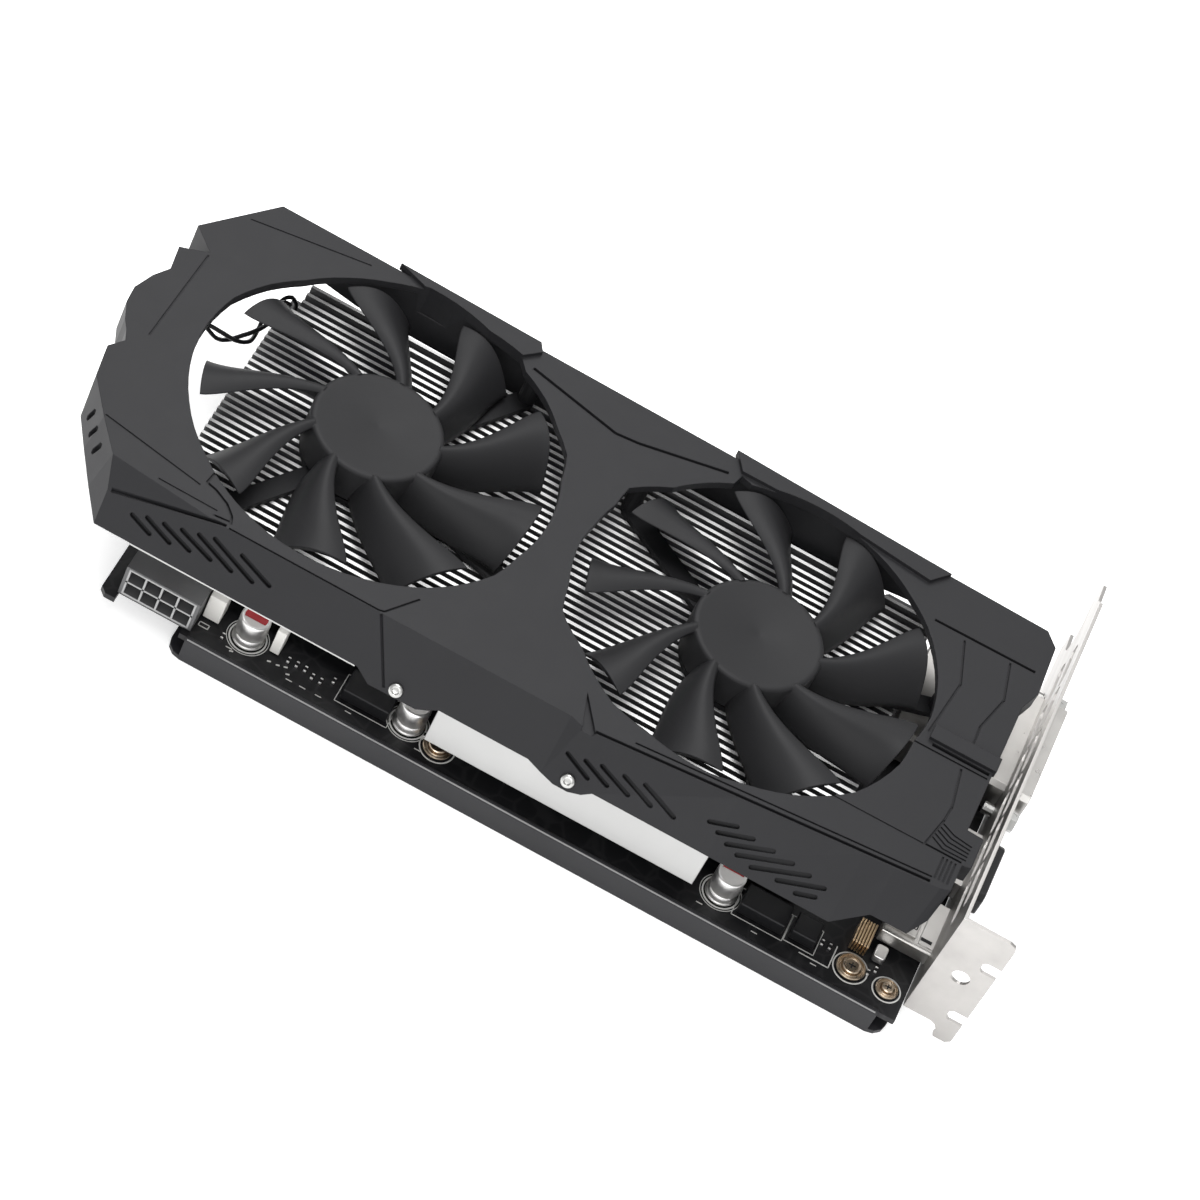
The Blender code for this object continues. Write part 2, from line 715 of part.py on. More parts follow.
def add_blades(shape, phase):
    shares = [i / (BLADE_STATIONS - 1) for i in range(BLADE_STATIONS)]
    for i in range(BLADE_COUNT):
        turn = phase + 360.0 * i / BLADE_COUNT
        stack_rings(shape, [blade_section(share, turn) for share in shares])


def add_hub(shape):
    """A flat cap with a rounded rim, a skirt, and a boss that holds the shaft."""
    r = HUB_RADIUS
    inner = r - HUB_WALL
    under = HUB_TOP - HUB_WALL
    profile = [
        (SHAFT_RADIUS, under),
        (SHAFT_RADIUS, HUB_TOP - 4.2),
        (3.0, HUB_TOP - 4.2),
        (3.0, under),
        (inner, under),
        (inner, HUB_BOTTOM),
        (r, HUB_BOTTOM),
        (r, HUB_TOP - 0.9),
        (r - 0.3, HUB_TOP - 0.3),
        (r - 0.9, HUB_TOP),
        (SHAFT_RADIUS, HUB_TOP),
    ]
    add_lathe(shape, profile, 44)


def build_fan(side, centre, phase):
    at = (centre[0], centre[1], 0.0)
    rotor = make(f"fan_{side}_rotor", shape_of(add_hub), "fan_plastic", at)
    plug = ((3.2, HUB_TOP - HUB_WALL + 0.2), (3.2, HUB_TOP))
    join(rotor, shape_of(add_turned, (0.0, 0.0), plug, 24), at)
    join(rotor, shape_of(add_blades, phase), at)
    rotor.data.shade_smooth()
    rotor.data.set_sharp_from_angle(angle=math.radians(35))
    shaft = ((SHAFT_RADIUS, FRAME_BOTTOM + 0.6), (SHAFT_RADIUS, HUB_TOP - HUB_WALL - 0.1))
    make(f"fan_{side}_shaft", shape_of(add_turned, (0.0, 0.0), shaft), "steel", at, smooth=35)
    build_fan_frame(side, at)
    make(f"fan_{side}_stator", shape_of(add_lathe, STATOR, 18), "coil_copper", at)


def arm_and_post(degrees):
    """One flat arm of the frame, and the post at its end that hangs from the shroud."""
    angle = math.radians(degrees)
    across = (math.cos(angle), math.sin(angle))
    level = (FRAME_BOTTOM + FRAME_TOP) / 2
    start = (12.0 * across[0], 12.0 * across[1], level)
    end = (ARM_REACH * across[0], ARM_REACH * across[1], level)
    arm = shape_of(add_bar, start, end, ARM_WIDTH, FRAME_TOP - FRAME_BOTTOM - 0.04)
    profile = ((POST_RADIUS, FRAME_BOTTOM + 0.01), (POST_RADIUS, -WALL - GAP))
    return [arm, shape_of(add_turned, end[:2], profile, 14)]


def build_fan_frame(side, at):
    """Motor base with its bearing tube and three arms that reach under the shroud's top."""
    bore = SHAFT_RADIUS + BORE_CLEARANCE
    profile = [
        (bore, FRAME_LIP),
        (0.4, FRAME_LIP),
        (0.4, FRAME_BOTTOM),
        (FRAME_RADIUS, FRAME_BOTTOM),
        (FRAME_RADIUS, FRAME_TOP),
        (SLEEVE_RADIUS, FRAME_TOP),
        (SLEEVE_RADIUS, SLEEVE_TOP),
        (bore, SLEEVE_TOP),
    ]
    frame = make(f"fan_{side}_frame", shape_of(add_lathe, profile, 32), "frame_plastic", at)
    floor = shape_of(add_turned, (0.0, 0.0), ((1.2, FRAME_BOTTOM), (1.2, FRAME_LIP - 0.05)))
    join(frame, floor, at)
    for degrees in ARMS[side]:
        for shape in arm_and_post(degrees):
            join(frame, shape, at)


# Heat sink


def fin_rows(first, last):
    """Centre lines of the fins between two faces; a block that stands forward is closed by one at its face."""
    rows = []
    y = LAST_EVEN_FIN
    while y > first:
        rows.append(y)
        y -= FIN_PITCH
    even = [y for y in rows[::-1] + list(BACK_FINS) if first < y - FIN_THICKNESS / 2 and y < last]
    return even if first > 0.0 else [first + FIN_THICKNESS / 2] + even


def comb_outline(first, last):
    """(y, z) outline of a base with upright fins on it and the pipes' recesses under it."""
    points = [(last, BASE_BOTTOM)]
    half = PIPE_WIDTH / 2 + GAP
    roof = BASE_BOTTOM + PIPE_RECESS
    for row in sorted(PIPE_ROWS, reverse=True):
        if first < row < last:
            points += [(row + half, BASE_BOTTOM), (row + half, roof)]
            points += [(row - half, roof), (row - half, BASE_BOTTOM)]
    points.append((first, BASE_BOTTOM))
    if first > 0.0:
        points.append((first, BASE_TOP))
    for row in fin_rows(first, last):
        near, far = row - FIN_THICKNESS / 2, row + FIN_THICKNESS / 2
        if near > first:
            points.append((near, BASE_TOP))
        points += [(near, FIN_TOP), (far, FIN_TOP), (far, BASE_TOP)]
    points.append((last, BASE_TOP))
    return points


def build_heat_sink():
    comb = comb_outline(SINK_FRONT, SINK_BACK)
    sink = make("heat_sink_fins", shape_of(add_prism_x, comb, SINK_LEFT, SINK_RIGHT), "fin_aluminium")
    cut(sink, shape_of(add_box, *LEAD_NOTCH, BASE_BOTTOM - 1.0, FIN_TOP + 1.0))
    left, right, face = SIDE_BLOCK
    join(sink, shape_of(add_prism_x, comb_outline(face, SINK_FRONT + 0.2), left, right))
    x, y = GPU
    top = BASE_BOTTOM - GAP
    half = COLD_PLATE_HALF
    plate = shape_of(add_box, x - half, x + half, y - half, y + half, top - COLD_PLATE_THICKNESS, top)
    make("heat_sink_cold_plate", plate, "copper")
    for side, row in zip(("front", "back"), PIPE_ROWS):
        edge = (row - PIPE_WIDTH / 2, row + PIPE_WIDTH / 2, BASE_BOTTOM, BASE_BOTTOM + PIPE_HEIGHT)
        outline = rounded(*edge, 1.15, 4)
        pipe = shape_of(add_prism_x, outline, SINK_LEFT + PIPE_INSET, SINK_RIGHT - PIPE_INSET)
        make(f"heat_pipe_{side}", pipe, "copper", smooth=40)


# Board and what is soldered to it

BOARD_SCREWS = {"left": (-123.0, -1.3, 3.6), "right": (-15.7, -0.3, 3.6), "corner": (-6.1, -0.9, 2.8)}
SPRING_OFFSET = 29.0
HOLE_RADIUS = 1.6
SHANK_RADIUS = 1.3
FINGERS = ((-45.6, -34.0), (-119.2, -47.5))
FINGER_BEVEL = 0.8
LATCH = (-127.4, -122.4)
LATCH_NECK = 106.2
LATCH_END = 109.0
CORNER_CUT = 1.5
INLET_NOTCH = (-203.9, -187.2, -4.6)  # left, right and depth of the cut under the power inlet


def board_outline():
    left, right, depth = INLET_NOTCH
    points = [(BOARD_LEFT + CORNER_CUT, BOARD_FRONT), (left, BOARD_FRONT), (left, depth)]
    points += [(right, depth), (right, BOARD_FRONT), (BOARD_RIGHT, BOARD_FRONT)]
    points += [(BOARD_RIGHT, BOARD_STEP_Y), (BOARD_STEP_X, BOARD_STEP_Y), (BOARD_STEP_X, BOARD_BACK)]
    for left, right in FINGERS:
        points += [(right, BOARD_BACK), (right, FINGER_EDGE - FINGER_BEVEL)]
        points.append((right - FINGER_BEVEL, FINGER_EDGE))
        points += [(left + FINGER_BEVEL, FINGER_EDGE), (left, FINGER_EDGE - FINGER_BEVEL)]
        points.append((left, BOARD_BACK))
    left, right = LATCH
    points += [(right, BOARD_BACK), (right, LATCH_NECK), (right + 1.4, LATCH_NECK + 0.8)]
    points += [(right + 1.4, LATCH_END), (left + 0.8, LATCH_END), (left, LATCH_END - 0.8), (left, BOARD_BACK)]
    points += [(BOARD_LEFT, BOARD_BACK), (BOARD_LEFT, BOARD_FRONT + CORNER_CUT)]
    return points


def spring_screw_places():
    return [(GPU[0] + a * SPRING_OFFSET, GPU[1] + b * SPRING_OFFSET) for a in (-1, 1) for b in (-1, 1)]


def build_board():
    board = make("circuit_board", shape_of(add_prism, board_outline(), BOARD_BOTTOM, BOARD_TOP), "board")
    holes = bmesh.new()
    for centre in [place[:2] for place in BOARD_SCREWS.values()] + spring_screw_places():
        add_prism(holes, circle(centre, HOLE_RADIUS, 16), BOARD_BOTTOM - 2.0, BOARD_TOP + 2.0)
    cut(board, holes)


SUBSTRATE_HALF = 20.0
SUBSTRATE_HEIGHT = 1.0
DIE_HALF = (8.0, 10.0)
DIE_TOP = PART_SEAT + 2.0
MEMORY_OFFSETS = ((-37.0, -18.0), (-37.0, 0.0), (-37.0, 18.0), (37.0, -18.0), (37.0, 0.0), (37.0, 18.0))
MEMORY_HALF = (6.0, 7.0)
MEMORY_HEIGHT = 1.1


def block_at(x, y, half_x, half_y, z0, z1):
    return shape_of(add_box, x - half_x, x + half_x, y - half_y, y + half_y, z0, z1)


def build_gpu():
    x, y = GPU
    top = PART_SEAT + SUBSTRATE_HEIGHT
    make("gpu_substrate", block_at(x, y, SUBSTRATE_HALF, SUBSTRATE_HALF, PART_SEAT, top), "substrate")
    make("gpu_die", block_at(x, y, *DIE_HALF, top + GAP, DIE_TOP), "silicon")
    for number, (dx, dy) in enumerate(MEMORY_OFFSETS, 1):
        chip = block_at(x + dx, y + dy, *MEMORY_HALF, PART_SEAT, PART_SEAT + MEMORY_HEIGHT)
        make(f"memory_chip_{number}", chip, "chip")


# Each choke: left, right, front, back, top
CHOKES = {
    "front_left": (-148.3, -136.2, -2.4, 4.9, -31.0),
    "front_middle": (-45.1, -33.4, -2.0, 4.9, -31.0),
    "front_right": (-31.8, -25.4, -1.4, 4.9, -31.4),
    "inner_1": (-190.0, -180.0, 20.0, 30.0, -31.2),
    "inner_2": (-190.0, -180.0, 34.0, 44.0, -31.2),
    "inner_3": (-190.0, -180.0, 48.0, 58.0, -31.2),
    "inner_4": (-190.0, -180.0, 62.0, 72.0, -31.2),
}
CAPACITORS = {"left": (-173.3, 0.7), "middle": (-131.6, 1.0), "right": (-50.0, 1.1)}
CAPACITOR_RADIUS = 3.7
CAPACITOR_TOP = -26.9


def build_chokes():
    for place, (x0, x1, y0, y1, top) in CHOKES.items():
        choke = shape_of(add_prism, rounded(x0, x1, y0, y1, 0.8, 2), PART_SEAT, top)
        make(f"choke_{place}", choke, "chip")


def build_capacitors():
    """A plastic-footed can with a rolled neck and a rounded top edge."""
    r = CAPACITOR_RADIUS
    top = CAPACITOR_TOP
    profile = (
        (r + 0.3, PART_SEAT),
        (r + 0.3, PART_SEAT + 1.4),
        (r - 0.3, PART_SEAT + 1.8),
        (r - 0.5, PART_SEAT + 2.2),
        (r, PART_SEAT + 2.8),
        (r, top - 0.6),
        (r - 0.6, top),
    )
    for place, centre in CAPACITORS.items():
        can = shape_of(add_turned, centre, profile, 20)
        make(f"capacitor_{place}", can, "can_aluminium", smooth=35)


POWER_LEFT = -204.2
POWER_RIGHT = -185.3
POWER_FRONT = -6.0
POWER_BACK = 3.6
POWER_TOP = -25.0
POWER_ROWS = (-31.95, -27.75)
CELL_PITCH = 4.2
CELL_HALF = 1.85
CELL_BACK = POWER_BACK - 3.0
CONTACT_HALF = 0.5


def build_power_connector():
    """Eight-way housing; the contacts stand in its cells."""
    block = shape_of(add_box, POWER_LEFT, POWER_RIGHT, POWER_FRONT, POWER_BACK, PART_SEAT, POWER_TOP)
    housing = make("power_connector", block, "connector_plastic")
    middle = (POWER_LEFT + POWER_RIGHT) / 2
    cells = bmesh.new()
    contacts = bmesh.new()
    for i in range(4):
        x = middle + CELL_PITCH * (i - 1.5)
        for z in POWER_ROWS:
            side = (x - CELL_HALF, x + CELL_HALF)
            add_box(cells, *side, POWER_FRONT - 2.0, CELL_BACK, z - CELL_HALF, z + CELL_HALF)
            side = (x - CONTACT_HALF, x + CONTACT_HALF)
            reach = (POWER_FRONT + 3.0, CELL_BACK + 1.0)
            add_box(contacts, *side, *reach, z - CONTACT_HALF, z + CONTACT_HALF)
    cut(housing, cells)
    join(housing, contacts)


HEADERS = {"left": (-184.9, -180.7, -0.3, 4.8), "right": (-167.6, -165.2, 0.0, 4.8)}
HEADER_TOP = -26.7


def build_headers():
    for place, (x0, x1, y0, y1) in HEADERS.items():
        block = shape_of(add_box, x0, x1, y0, y1, PART_SEAT, HEADER_TOP)
        make(f"fan_header_{place}", block, "header_plastic")


def build_board_screws():
    """Screws through the board into the backplate, each with a wide flat washer under its head."""
    washer = PART_SEAT + 0.4
    head = PART_SEAT + 1.3
    for place, (x, y, radius) in BOARD_SCREWS.items():
        profile = (
            (SHANK_RADIUS, BOARD_BOTTOM - 2.6),
            (SHANK_RADIUS, PART_SEAT),
            (radius, PART_SEAT),
            (radius, washer),
            (radius - 1.1, washer + 0.1),
            (radius - 1.3, head - 0.3),
            (radius - 1.8, head),
        )
        body = shape_of(add_turned, (x, y), profile, 20)
        screw = make(f"board_screw_{place}", body, "gold", smooth=35)
        cut(screw, block_at(x, y, 0.8, 0.25, head - 0.4, head + 1.0))


def build_spring_screws():
    seat = BOARD_BOTTOM - GAP
    profile = (
        (2.0, seat - 3.0),
        (2.6, seat - 2.5),
        (2.6, seat - 1.4),
        (SHANK_RADIUS, seat - 1.3),
        (SHANK_RADIUS, BASE_BOTTOM - 0.3),
    )
    for number, centre in enumerate(spring_screw_places(), 1):
        make(f"spring_screw_{number}", shape_of(add_turned, centre, profile, 12), "steel", smooth=35)


# Backplate

BACKPLATE_LEFT = -188.8
BACKPLATE_RIGHT = -2.2
BACKPLATE_BACK = 100.5
BACKPLATE_STEP = 92.6
BACKPLATE_CORNER = 4.0
RAIL_FRONT = -9.3
RAIL_INNER = -8.0
RAIL_TOP = -33.9
RAIL_FOOT = BACKPLATE_TOP - 0.6
POST_PLACES = [(x, y) for x in (-180.0, -146.0, -60.0, -12.0) for y in (10.0, 90.0)]
WINDOW_HALF = 32.0
VENT_COUNT = 7
VENT_PITCH = 7.0


def backplate_outline():
    points = rounded(BACKPLATE_LEFT, BACKPLATE_RIGHT, RAIL_FRONT, BACKPLATE_BACK, BACKPLATE_CORNER, 3)
    step = BOARD_STEP_X + 1.0
    straight = [point for point in points if point[0] <= step or point[1] < BACKPLATE_STEP]
    notch = [(BACKPLATE_RIGHT, BACKPLATE_STEP), (step, BACKPLATE_STEP), (step, BACKPLATE_BACK)]
    return notch + straight


def build_backplate():
    """A flat tray whose front edge turns up as a rounded rail over the board's edge."""
    skin = shape_of(add_prism, backplate_outline(), BACKPLATE_BOTTOM, BACKPLATE_TOP)
    plate = make("backplate", skin, "backplate")
    rail = [(RAIL_INNER, RAIL_TOP), (RAIL_INNER, RAIL_FOOT), (RAIL_FRONT, RAIL_FOOT)]
    rail += [(RAIL_FRONT, RAIL_TOP - 0.6), (RAIL_FRONT + 0.5, RAIL_TOP)]
    inset = BACKPLATE_CORNER - 0.4
    join(plate, shape_of(add_prism_x, rail, BACKPLATE_LEFT + inset, BACKPLATE_RIGHT - inset))
    posts = bmesh.new()
    for centre in POST_PLACES:
        add_turned(posts, centre, ((3.0, BACKPLATE_TOP - 0.5), (3.0, BOARD_BOTTOM - GAP)), 12)
    join(plate, posts)
    x, y = GPU
    edge = (x - WINDOW_HALF, x + WINDOW_HALF, y - WINDOW_HALF, y + WINDOW_HALF)
    holes = shape_of(add_prism, rounded(*edge, 5.0, 3), -60.0, -38.0)
    for i in range(VENT_COUNT):
        x = -62.0 + VENT_PITCH * i
        add_prism(holes, slot_outline((x, 36.0), (x + 10.0, 60.0), 2.6, 4), -60.0, -38.0)
    cut(plate, holes)


# Bracket and its ports

# Each port: front, back, bottom, top, inner end
PORTS = {
    "hdmi": (9.0, 24.0, -34.4, -28.4, -13.4),
    "displayport": (30.6, 47.6, -34.4, -26.8, -16.0),
    "dvi": (61.0, 94.0, -34.4, -23.2, -31.0),
}
PORT_NOSE = {"hdmi": 0.6, "displayport": 0.6, "dvi": 5.6}
PORT_WALL = 0.5
TONGUE_INSET = 3.2
DVI_NUTS = (57.6, 97.4)
NUT_Z = -28.8
NUT_RADIUS = 2.7
NUT_THREAD = 1.6
TONGUES = ((-34.6, -24.4), (-14.3, -4.1))
VENT_ROWS = (-8.0, -15.6)
VENT_WIDTH = 4.6


def port_outline(name, grow):
    """(y, z) outline of a port's mouth: cut corners make it keyed."""
    y0, y1, z0, z1, _ = PORTS[name]
    y0, y1, z0, z1 = y0 - grow, y1 + grow, z0 - grow, z1 + grow
    if name == "displayport":
        return [(y0 + 2.2, z0), (y1, z0), (y1, z1), (y0, z1), (y0, z0 + 2.2)]
    if name == "hdmi":
        return [(y0 + 2.0, z0), (y1 - 2.0, z0), (y1, z0 + 2.0), (y1, z1), (y0, z1), (y0, z0 + 2.0)]
    low = [(y0, z0 + 1.6), (y0 + 2.0, z0), (y1 - 2.0, z0), (y1, z0 + 1.6)]
    return low + [(y1, z1 - 1.2), (y1 - 1.2, z1), (y0 + 1.2, z1), (y0, z1 - 1.2)]


def flange_outline():
    """(x, z) outline of the flange: two open screw notches and the hooked foot."""
    depth = FLANGE_DEPTH
    points = [(-PLATE, -37.0), (-PLATE, 0.0), (depth - 2.0, 0.0), (depth - 0.5, -0.6), (depth, -2.0)]
    half, inner = 1.9, 8.6
    for z in NOTCHES:
        points += [(depth, z + half), (inner + 0.9, z + half), (inner, z + 1.0)]
        points += [(inner, z - 1.0), (inner + 0.9, z - half), (depth, z - half)]
    points += [(depth, -40.4), (depth - 1.2, BACKPLATE_BOTTOM), (8.8, BACKPLATE_BOTTOM)]
    points += [(8.3, -40.6), (8.6, -39.2), (7.6, -37.6), (6.4, -37.0)]
    return points


def bracket_outline():
    """(y, z) outline of the upright plate with its two tongues."""
    points = [(-PLATE, 0.0), (-PLATE, -37.0), (2.0, BRACKET_BOTTOM), (108.0, BRACKET_BOTTOM)]
    tip = BRACKET_LENGTH
    for low, high in TONGUES:
        points += [(112.0, low), (tip - 1.0, low + 1.5), (tip, low + 2.6)]
        points += [(tip, high - 2.6), (tip - 1.0, high - 1.5), (112.0, high)]
        if low < -20.0:
            points += [(108.6, -21.0), (108.6, -18.6)]
    points.append((107.5, 0.0))
    return points


def build_bracket():
    plate = make("io_bracket", shape_of(add_prism_x, bracket_outline(), -PLATE, 0.0), "bracket_steel")
    join(plate, shape_of(add_prism_y, flange_outline(), -PLATE, 0.0))
    openings = bmesh.new()
    for name in PORTS:
        add_prism_x(openings, port_outline(name, GAP), -4.0, 3.0)
    for y in DVI_NUTS:
        add_prism_x(openings, circle((y, NUT_Z), NUT_THREAD + GAP, 12), -4.0, 3.0)
    for i in range(6):
        y = 12.0 + 15.0 * i
        for z in VENT_ROWS:
            add_prism_x(openings, slot_outline((y, z), (y + 9.4, z), VENT_WIDTH), -4.0, 3.0)
    cut(plate, openings)
    cut(plate, shape_of(add_prism_y, circle((6.2, -18.6), 2.3, 20), -5.0, 5.0))


def build_ports():
    for name, (y0, y1, z0, z1, back) in PORTS.items():
        nose = PORT_NOSE[name]
        outer = shape_of(add_prism_x, port_outline(name, 0.0), back, nose)
        shell = make(f"{name}_connector", outer, "shell_metal")
        cut(shell, shape_of(add_prism_x, port_outline(name, -PORT_WALL), back + 3.0, nose + 3.0))
        middle = (z0 + z1) / 2
        thick = 3.4 if name == "dvi" else 1.0
        side = (y0 + TONGUE_INSET, y1 - TONGUE_INSET)
        join(shell, shape_of(add_box, back + 2.0, nose - 1.2, *side, middle - thick, middle + thick / 2))


def build_dust_cap():
    """The soft cap that plugs the middle port."""
    y0, y1, z0, z1, _ = PORTS["displayport"]
    low = [(y0 - 0.6, z0 + 1.6), (y0 + 1.0, z0 - 0.2), (y1 - 1.0, z0 - 0.2), (y1 + 0.6, z0 + 1.6)]
    high = [(y1 + 0.6, z1 - 0.8), (y1 - 1.0, z1 + 0.4), (y0 + 1.0, z1 + 0.4), (y0 - 0.6, z1 - 0.8)]
    make("displayport_dust_cap", shape_of(add_prism_x, low + high, 0.9, 5.4), "connector_plastic")


def build_dvi_nuts():
    for place, y in zip(("front", "back"), DVI_NUTS):
        nut = shape_of(add_prism_x, circle((y, NUT_Z), NUT_RADIUS, 6), GAP, 5.2)
        piece = make(f"dvi_nut_{place}", nut, "steel")
        join(piece, shape_of(add_prism_x, circle((y, NUT_Z), NUT_THREAD, 12), -3.5, GAP + 0.5))
        cut(piece, shape_of(add_prism_x, circle((y, NUT_Z), 1.2, 12), 0.9, 9.0))


def build_small_parts():
    """The oscillator can and the wound inductor beside the ports."""
    can = shape_of(add_prism, rounded(-12.4, -9.4, 4.4, 8.4, 0.8, 3), PART_SEAT, -32.4)
    make("oscillator", can, "can_aluminium", smooth=40)
    coil = shape_of(add_prism, rounded(-18.4, -14.0, 4.2, 12.0, 0.8, 3), PART_SEAT, -31.0)
    make("filter_coil", coil, "gold", smooth=40)


# Fan leads: two wires from under the shroud's left end to the board, twisted on the way

LEAD_RADIUS = 0.55
LEAD_TWIST = 0.9
LEAD_TURNS = 2.5
LEAD_STEPS = 44
LEAD_SMOOTHING = 0.045  # share of the length on each side that rounds off a bend
LEAD_STOPS = (
    (-223.0, 56.6, -8.0),
    (-217.0, 57.0, -10.0),
    (-213.4, 58.6, -12.8),
    (-209.6, 62.6, -14.4),
    (-207.7, 67.5, -15.0),
    (-207.7, 74.0, -15.4),
    (-207.6, 79.6, -15.6),
    (-206.2, 82.6, -15.8),
    (-204.9, 84.4, -17.4),
    (-204.9, 85.4, -24.0),
    (-204.9, 85.4, -33.4),
)


def lead_route(share):
    """Centre line of the pair: out of the shroud, across the gap, then down past the fins' end."""
    place = share * (len(LEAD_STOPS) - 1)
    index = min(int(place), len(LEAD_STOPS) - 2)
    return Vector(LEAD_STOPS[index]).lerp(Vector(LEAD_STOPS[index + 1]), place - index)


def lead_points(phase):
    points = []
    for i in range(LEAD_STEPS + 1):
        share = i / LEAD_STEPS
        before = lead_route(max(0.0, share - LEAD_SMOOTHING))
        after = lead_route(min(1.0, share + LEAD_SMOOTHING))
        centre = (before + after + lead_route(share)) / 3
        along = (after - before).normalized()
        across = along.cross(Vector((0.6, -0.8, 0.0))).normalized()
        turn = Matrix.Rotation(phase + 2 * math.pi * LEAD_TURNS * share, 3, along)
        points.append(centre + turn @ (across * LEAD_TWIST))
    return points


def build_leads():
    for side, phase in (("a", 0.0), ("b", math.pi)):
        curve = bpy.data.curves.new(f"fan_lead_{side}", "CURVE")
        curve.dimensions = "3D"
        curve.bevel_depth = LEAD_RADIUS * MM
        curve.bevel_resolution = 1
        curve.use_fill_caps = True
        spline = curve.splines.new("POLY")
        spline.points.add(LEAD_STEPS)
        for point, place in zip(spline.points, lead_points(phase)):
            point.co = (*(place * MM), 1.0)
        curve.materials.append(look("wire"))
        lead = bpy.data.objects.new(f"fan_lead_{side}", curve)
        lead.parent = bpy.data.objects["card_datum"]
        bpy.context.scene.collection.objects.link(lead)


def main():
    clear_scene()
    add_datum()
    build_shroud()
    build_shroud_screws()
    build_fan("left", FAN_LEFT, LEFT_PHASE)
    build_fan("right", FAN_RIGHT, RIGHT_PHASE)
    build_leads()
    build_heat_sink()
    build_board()
    build_gpu()
    build_chokes()
    build_capacitors()
    build_power_connector()
    build_headers()
    build_board_screws()
    build_spring_screws()
    build_backplate()
    build_bracket()
    build_ports()
    build_dust_cap()
    build_dvi_nuts()
    build_small_parts()


main()
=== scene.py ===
"""Looks for the graphics card: materials, finely modelled visible pieces, floor, light and camera.

Millimetre sizes are in the card's own frame: x = 0 at the bracket's outer face, y = 0 at the inner face of
its screw flange, z = 0 on top of the shroud. The builders place them in the shared frame through ORIGIN.
"""

import math

import bmesh
import bpy
from mathutils import Matrix, Vector


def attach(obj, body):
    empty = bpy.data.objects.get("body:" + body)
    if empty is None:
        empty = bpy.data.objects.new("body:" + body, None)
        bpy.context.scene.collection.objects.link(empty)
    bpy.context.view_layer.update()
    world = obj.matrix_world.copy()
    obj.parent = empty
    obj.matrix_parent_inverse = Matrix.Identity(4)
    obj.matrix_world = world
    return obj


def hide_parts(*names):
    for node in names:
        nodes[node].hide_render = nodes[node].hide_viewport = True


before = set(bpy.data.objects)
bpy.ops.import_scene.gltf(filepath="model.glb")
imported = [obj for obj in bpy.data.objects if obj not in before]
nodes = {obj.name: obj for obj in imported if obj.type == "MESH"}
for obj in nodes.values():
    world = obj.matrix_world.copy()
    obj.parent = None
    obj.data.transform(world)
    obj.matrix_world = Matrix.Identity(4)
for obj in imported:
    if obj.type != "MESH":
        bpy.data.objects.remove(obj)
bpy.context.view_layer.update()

MM = 0.001
ORIGIN = Vector((111.25, -53.75, 41.6))
FANS = {"left": (-170.5, 46.9, 4.0), "right": (-70.3, 46.5, -1.0)}
SEAT = -34.7  # foot of the parts soldered on the board
PRINT_LEVEL = -34.99  # just over the board's face
PRINT_HEIGHT = 0.05
SKIRT = -11.8  # level of the front skirt's lower edge
SKIRT_FOOT = -10.6  # y of that edge


# Materials


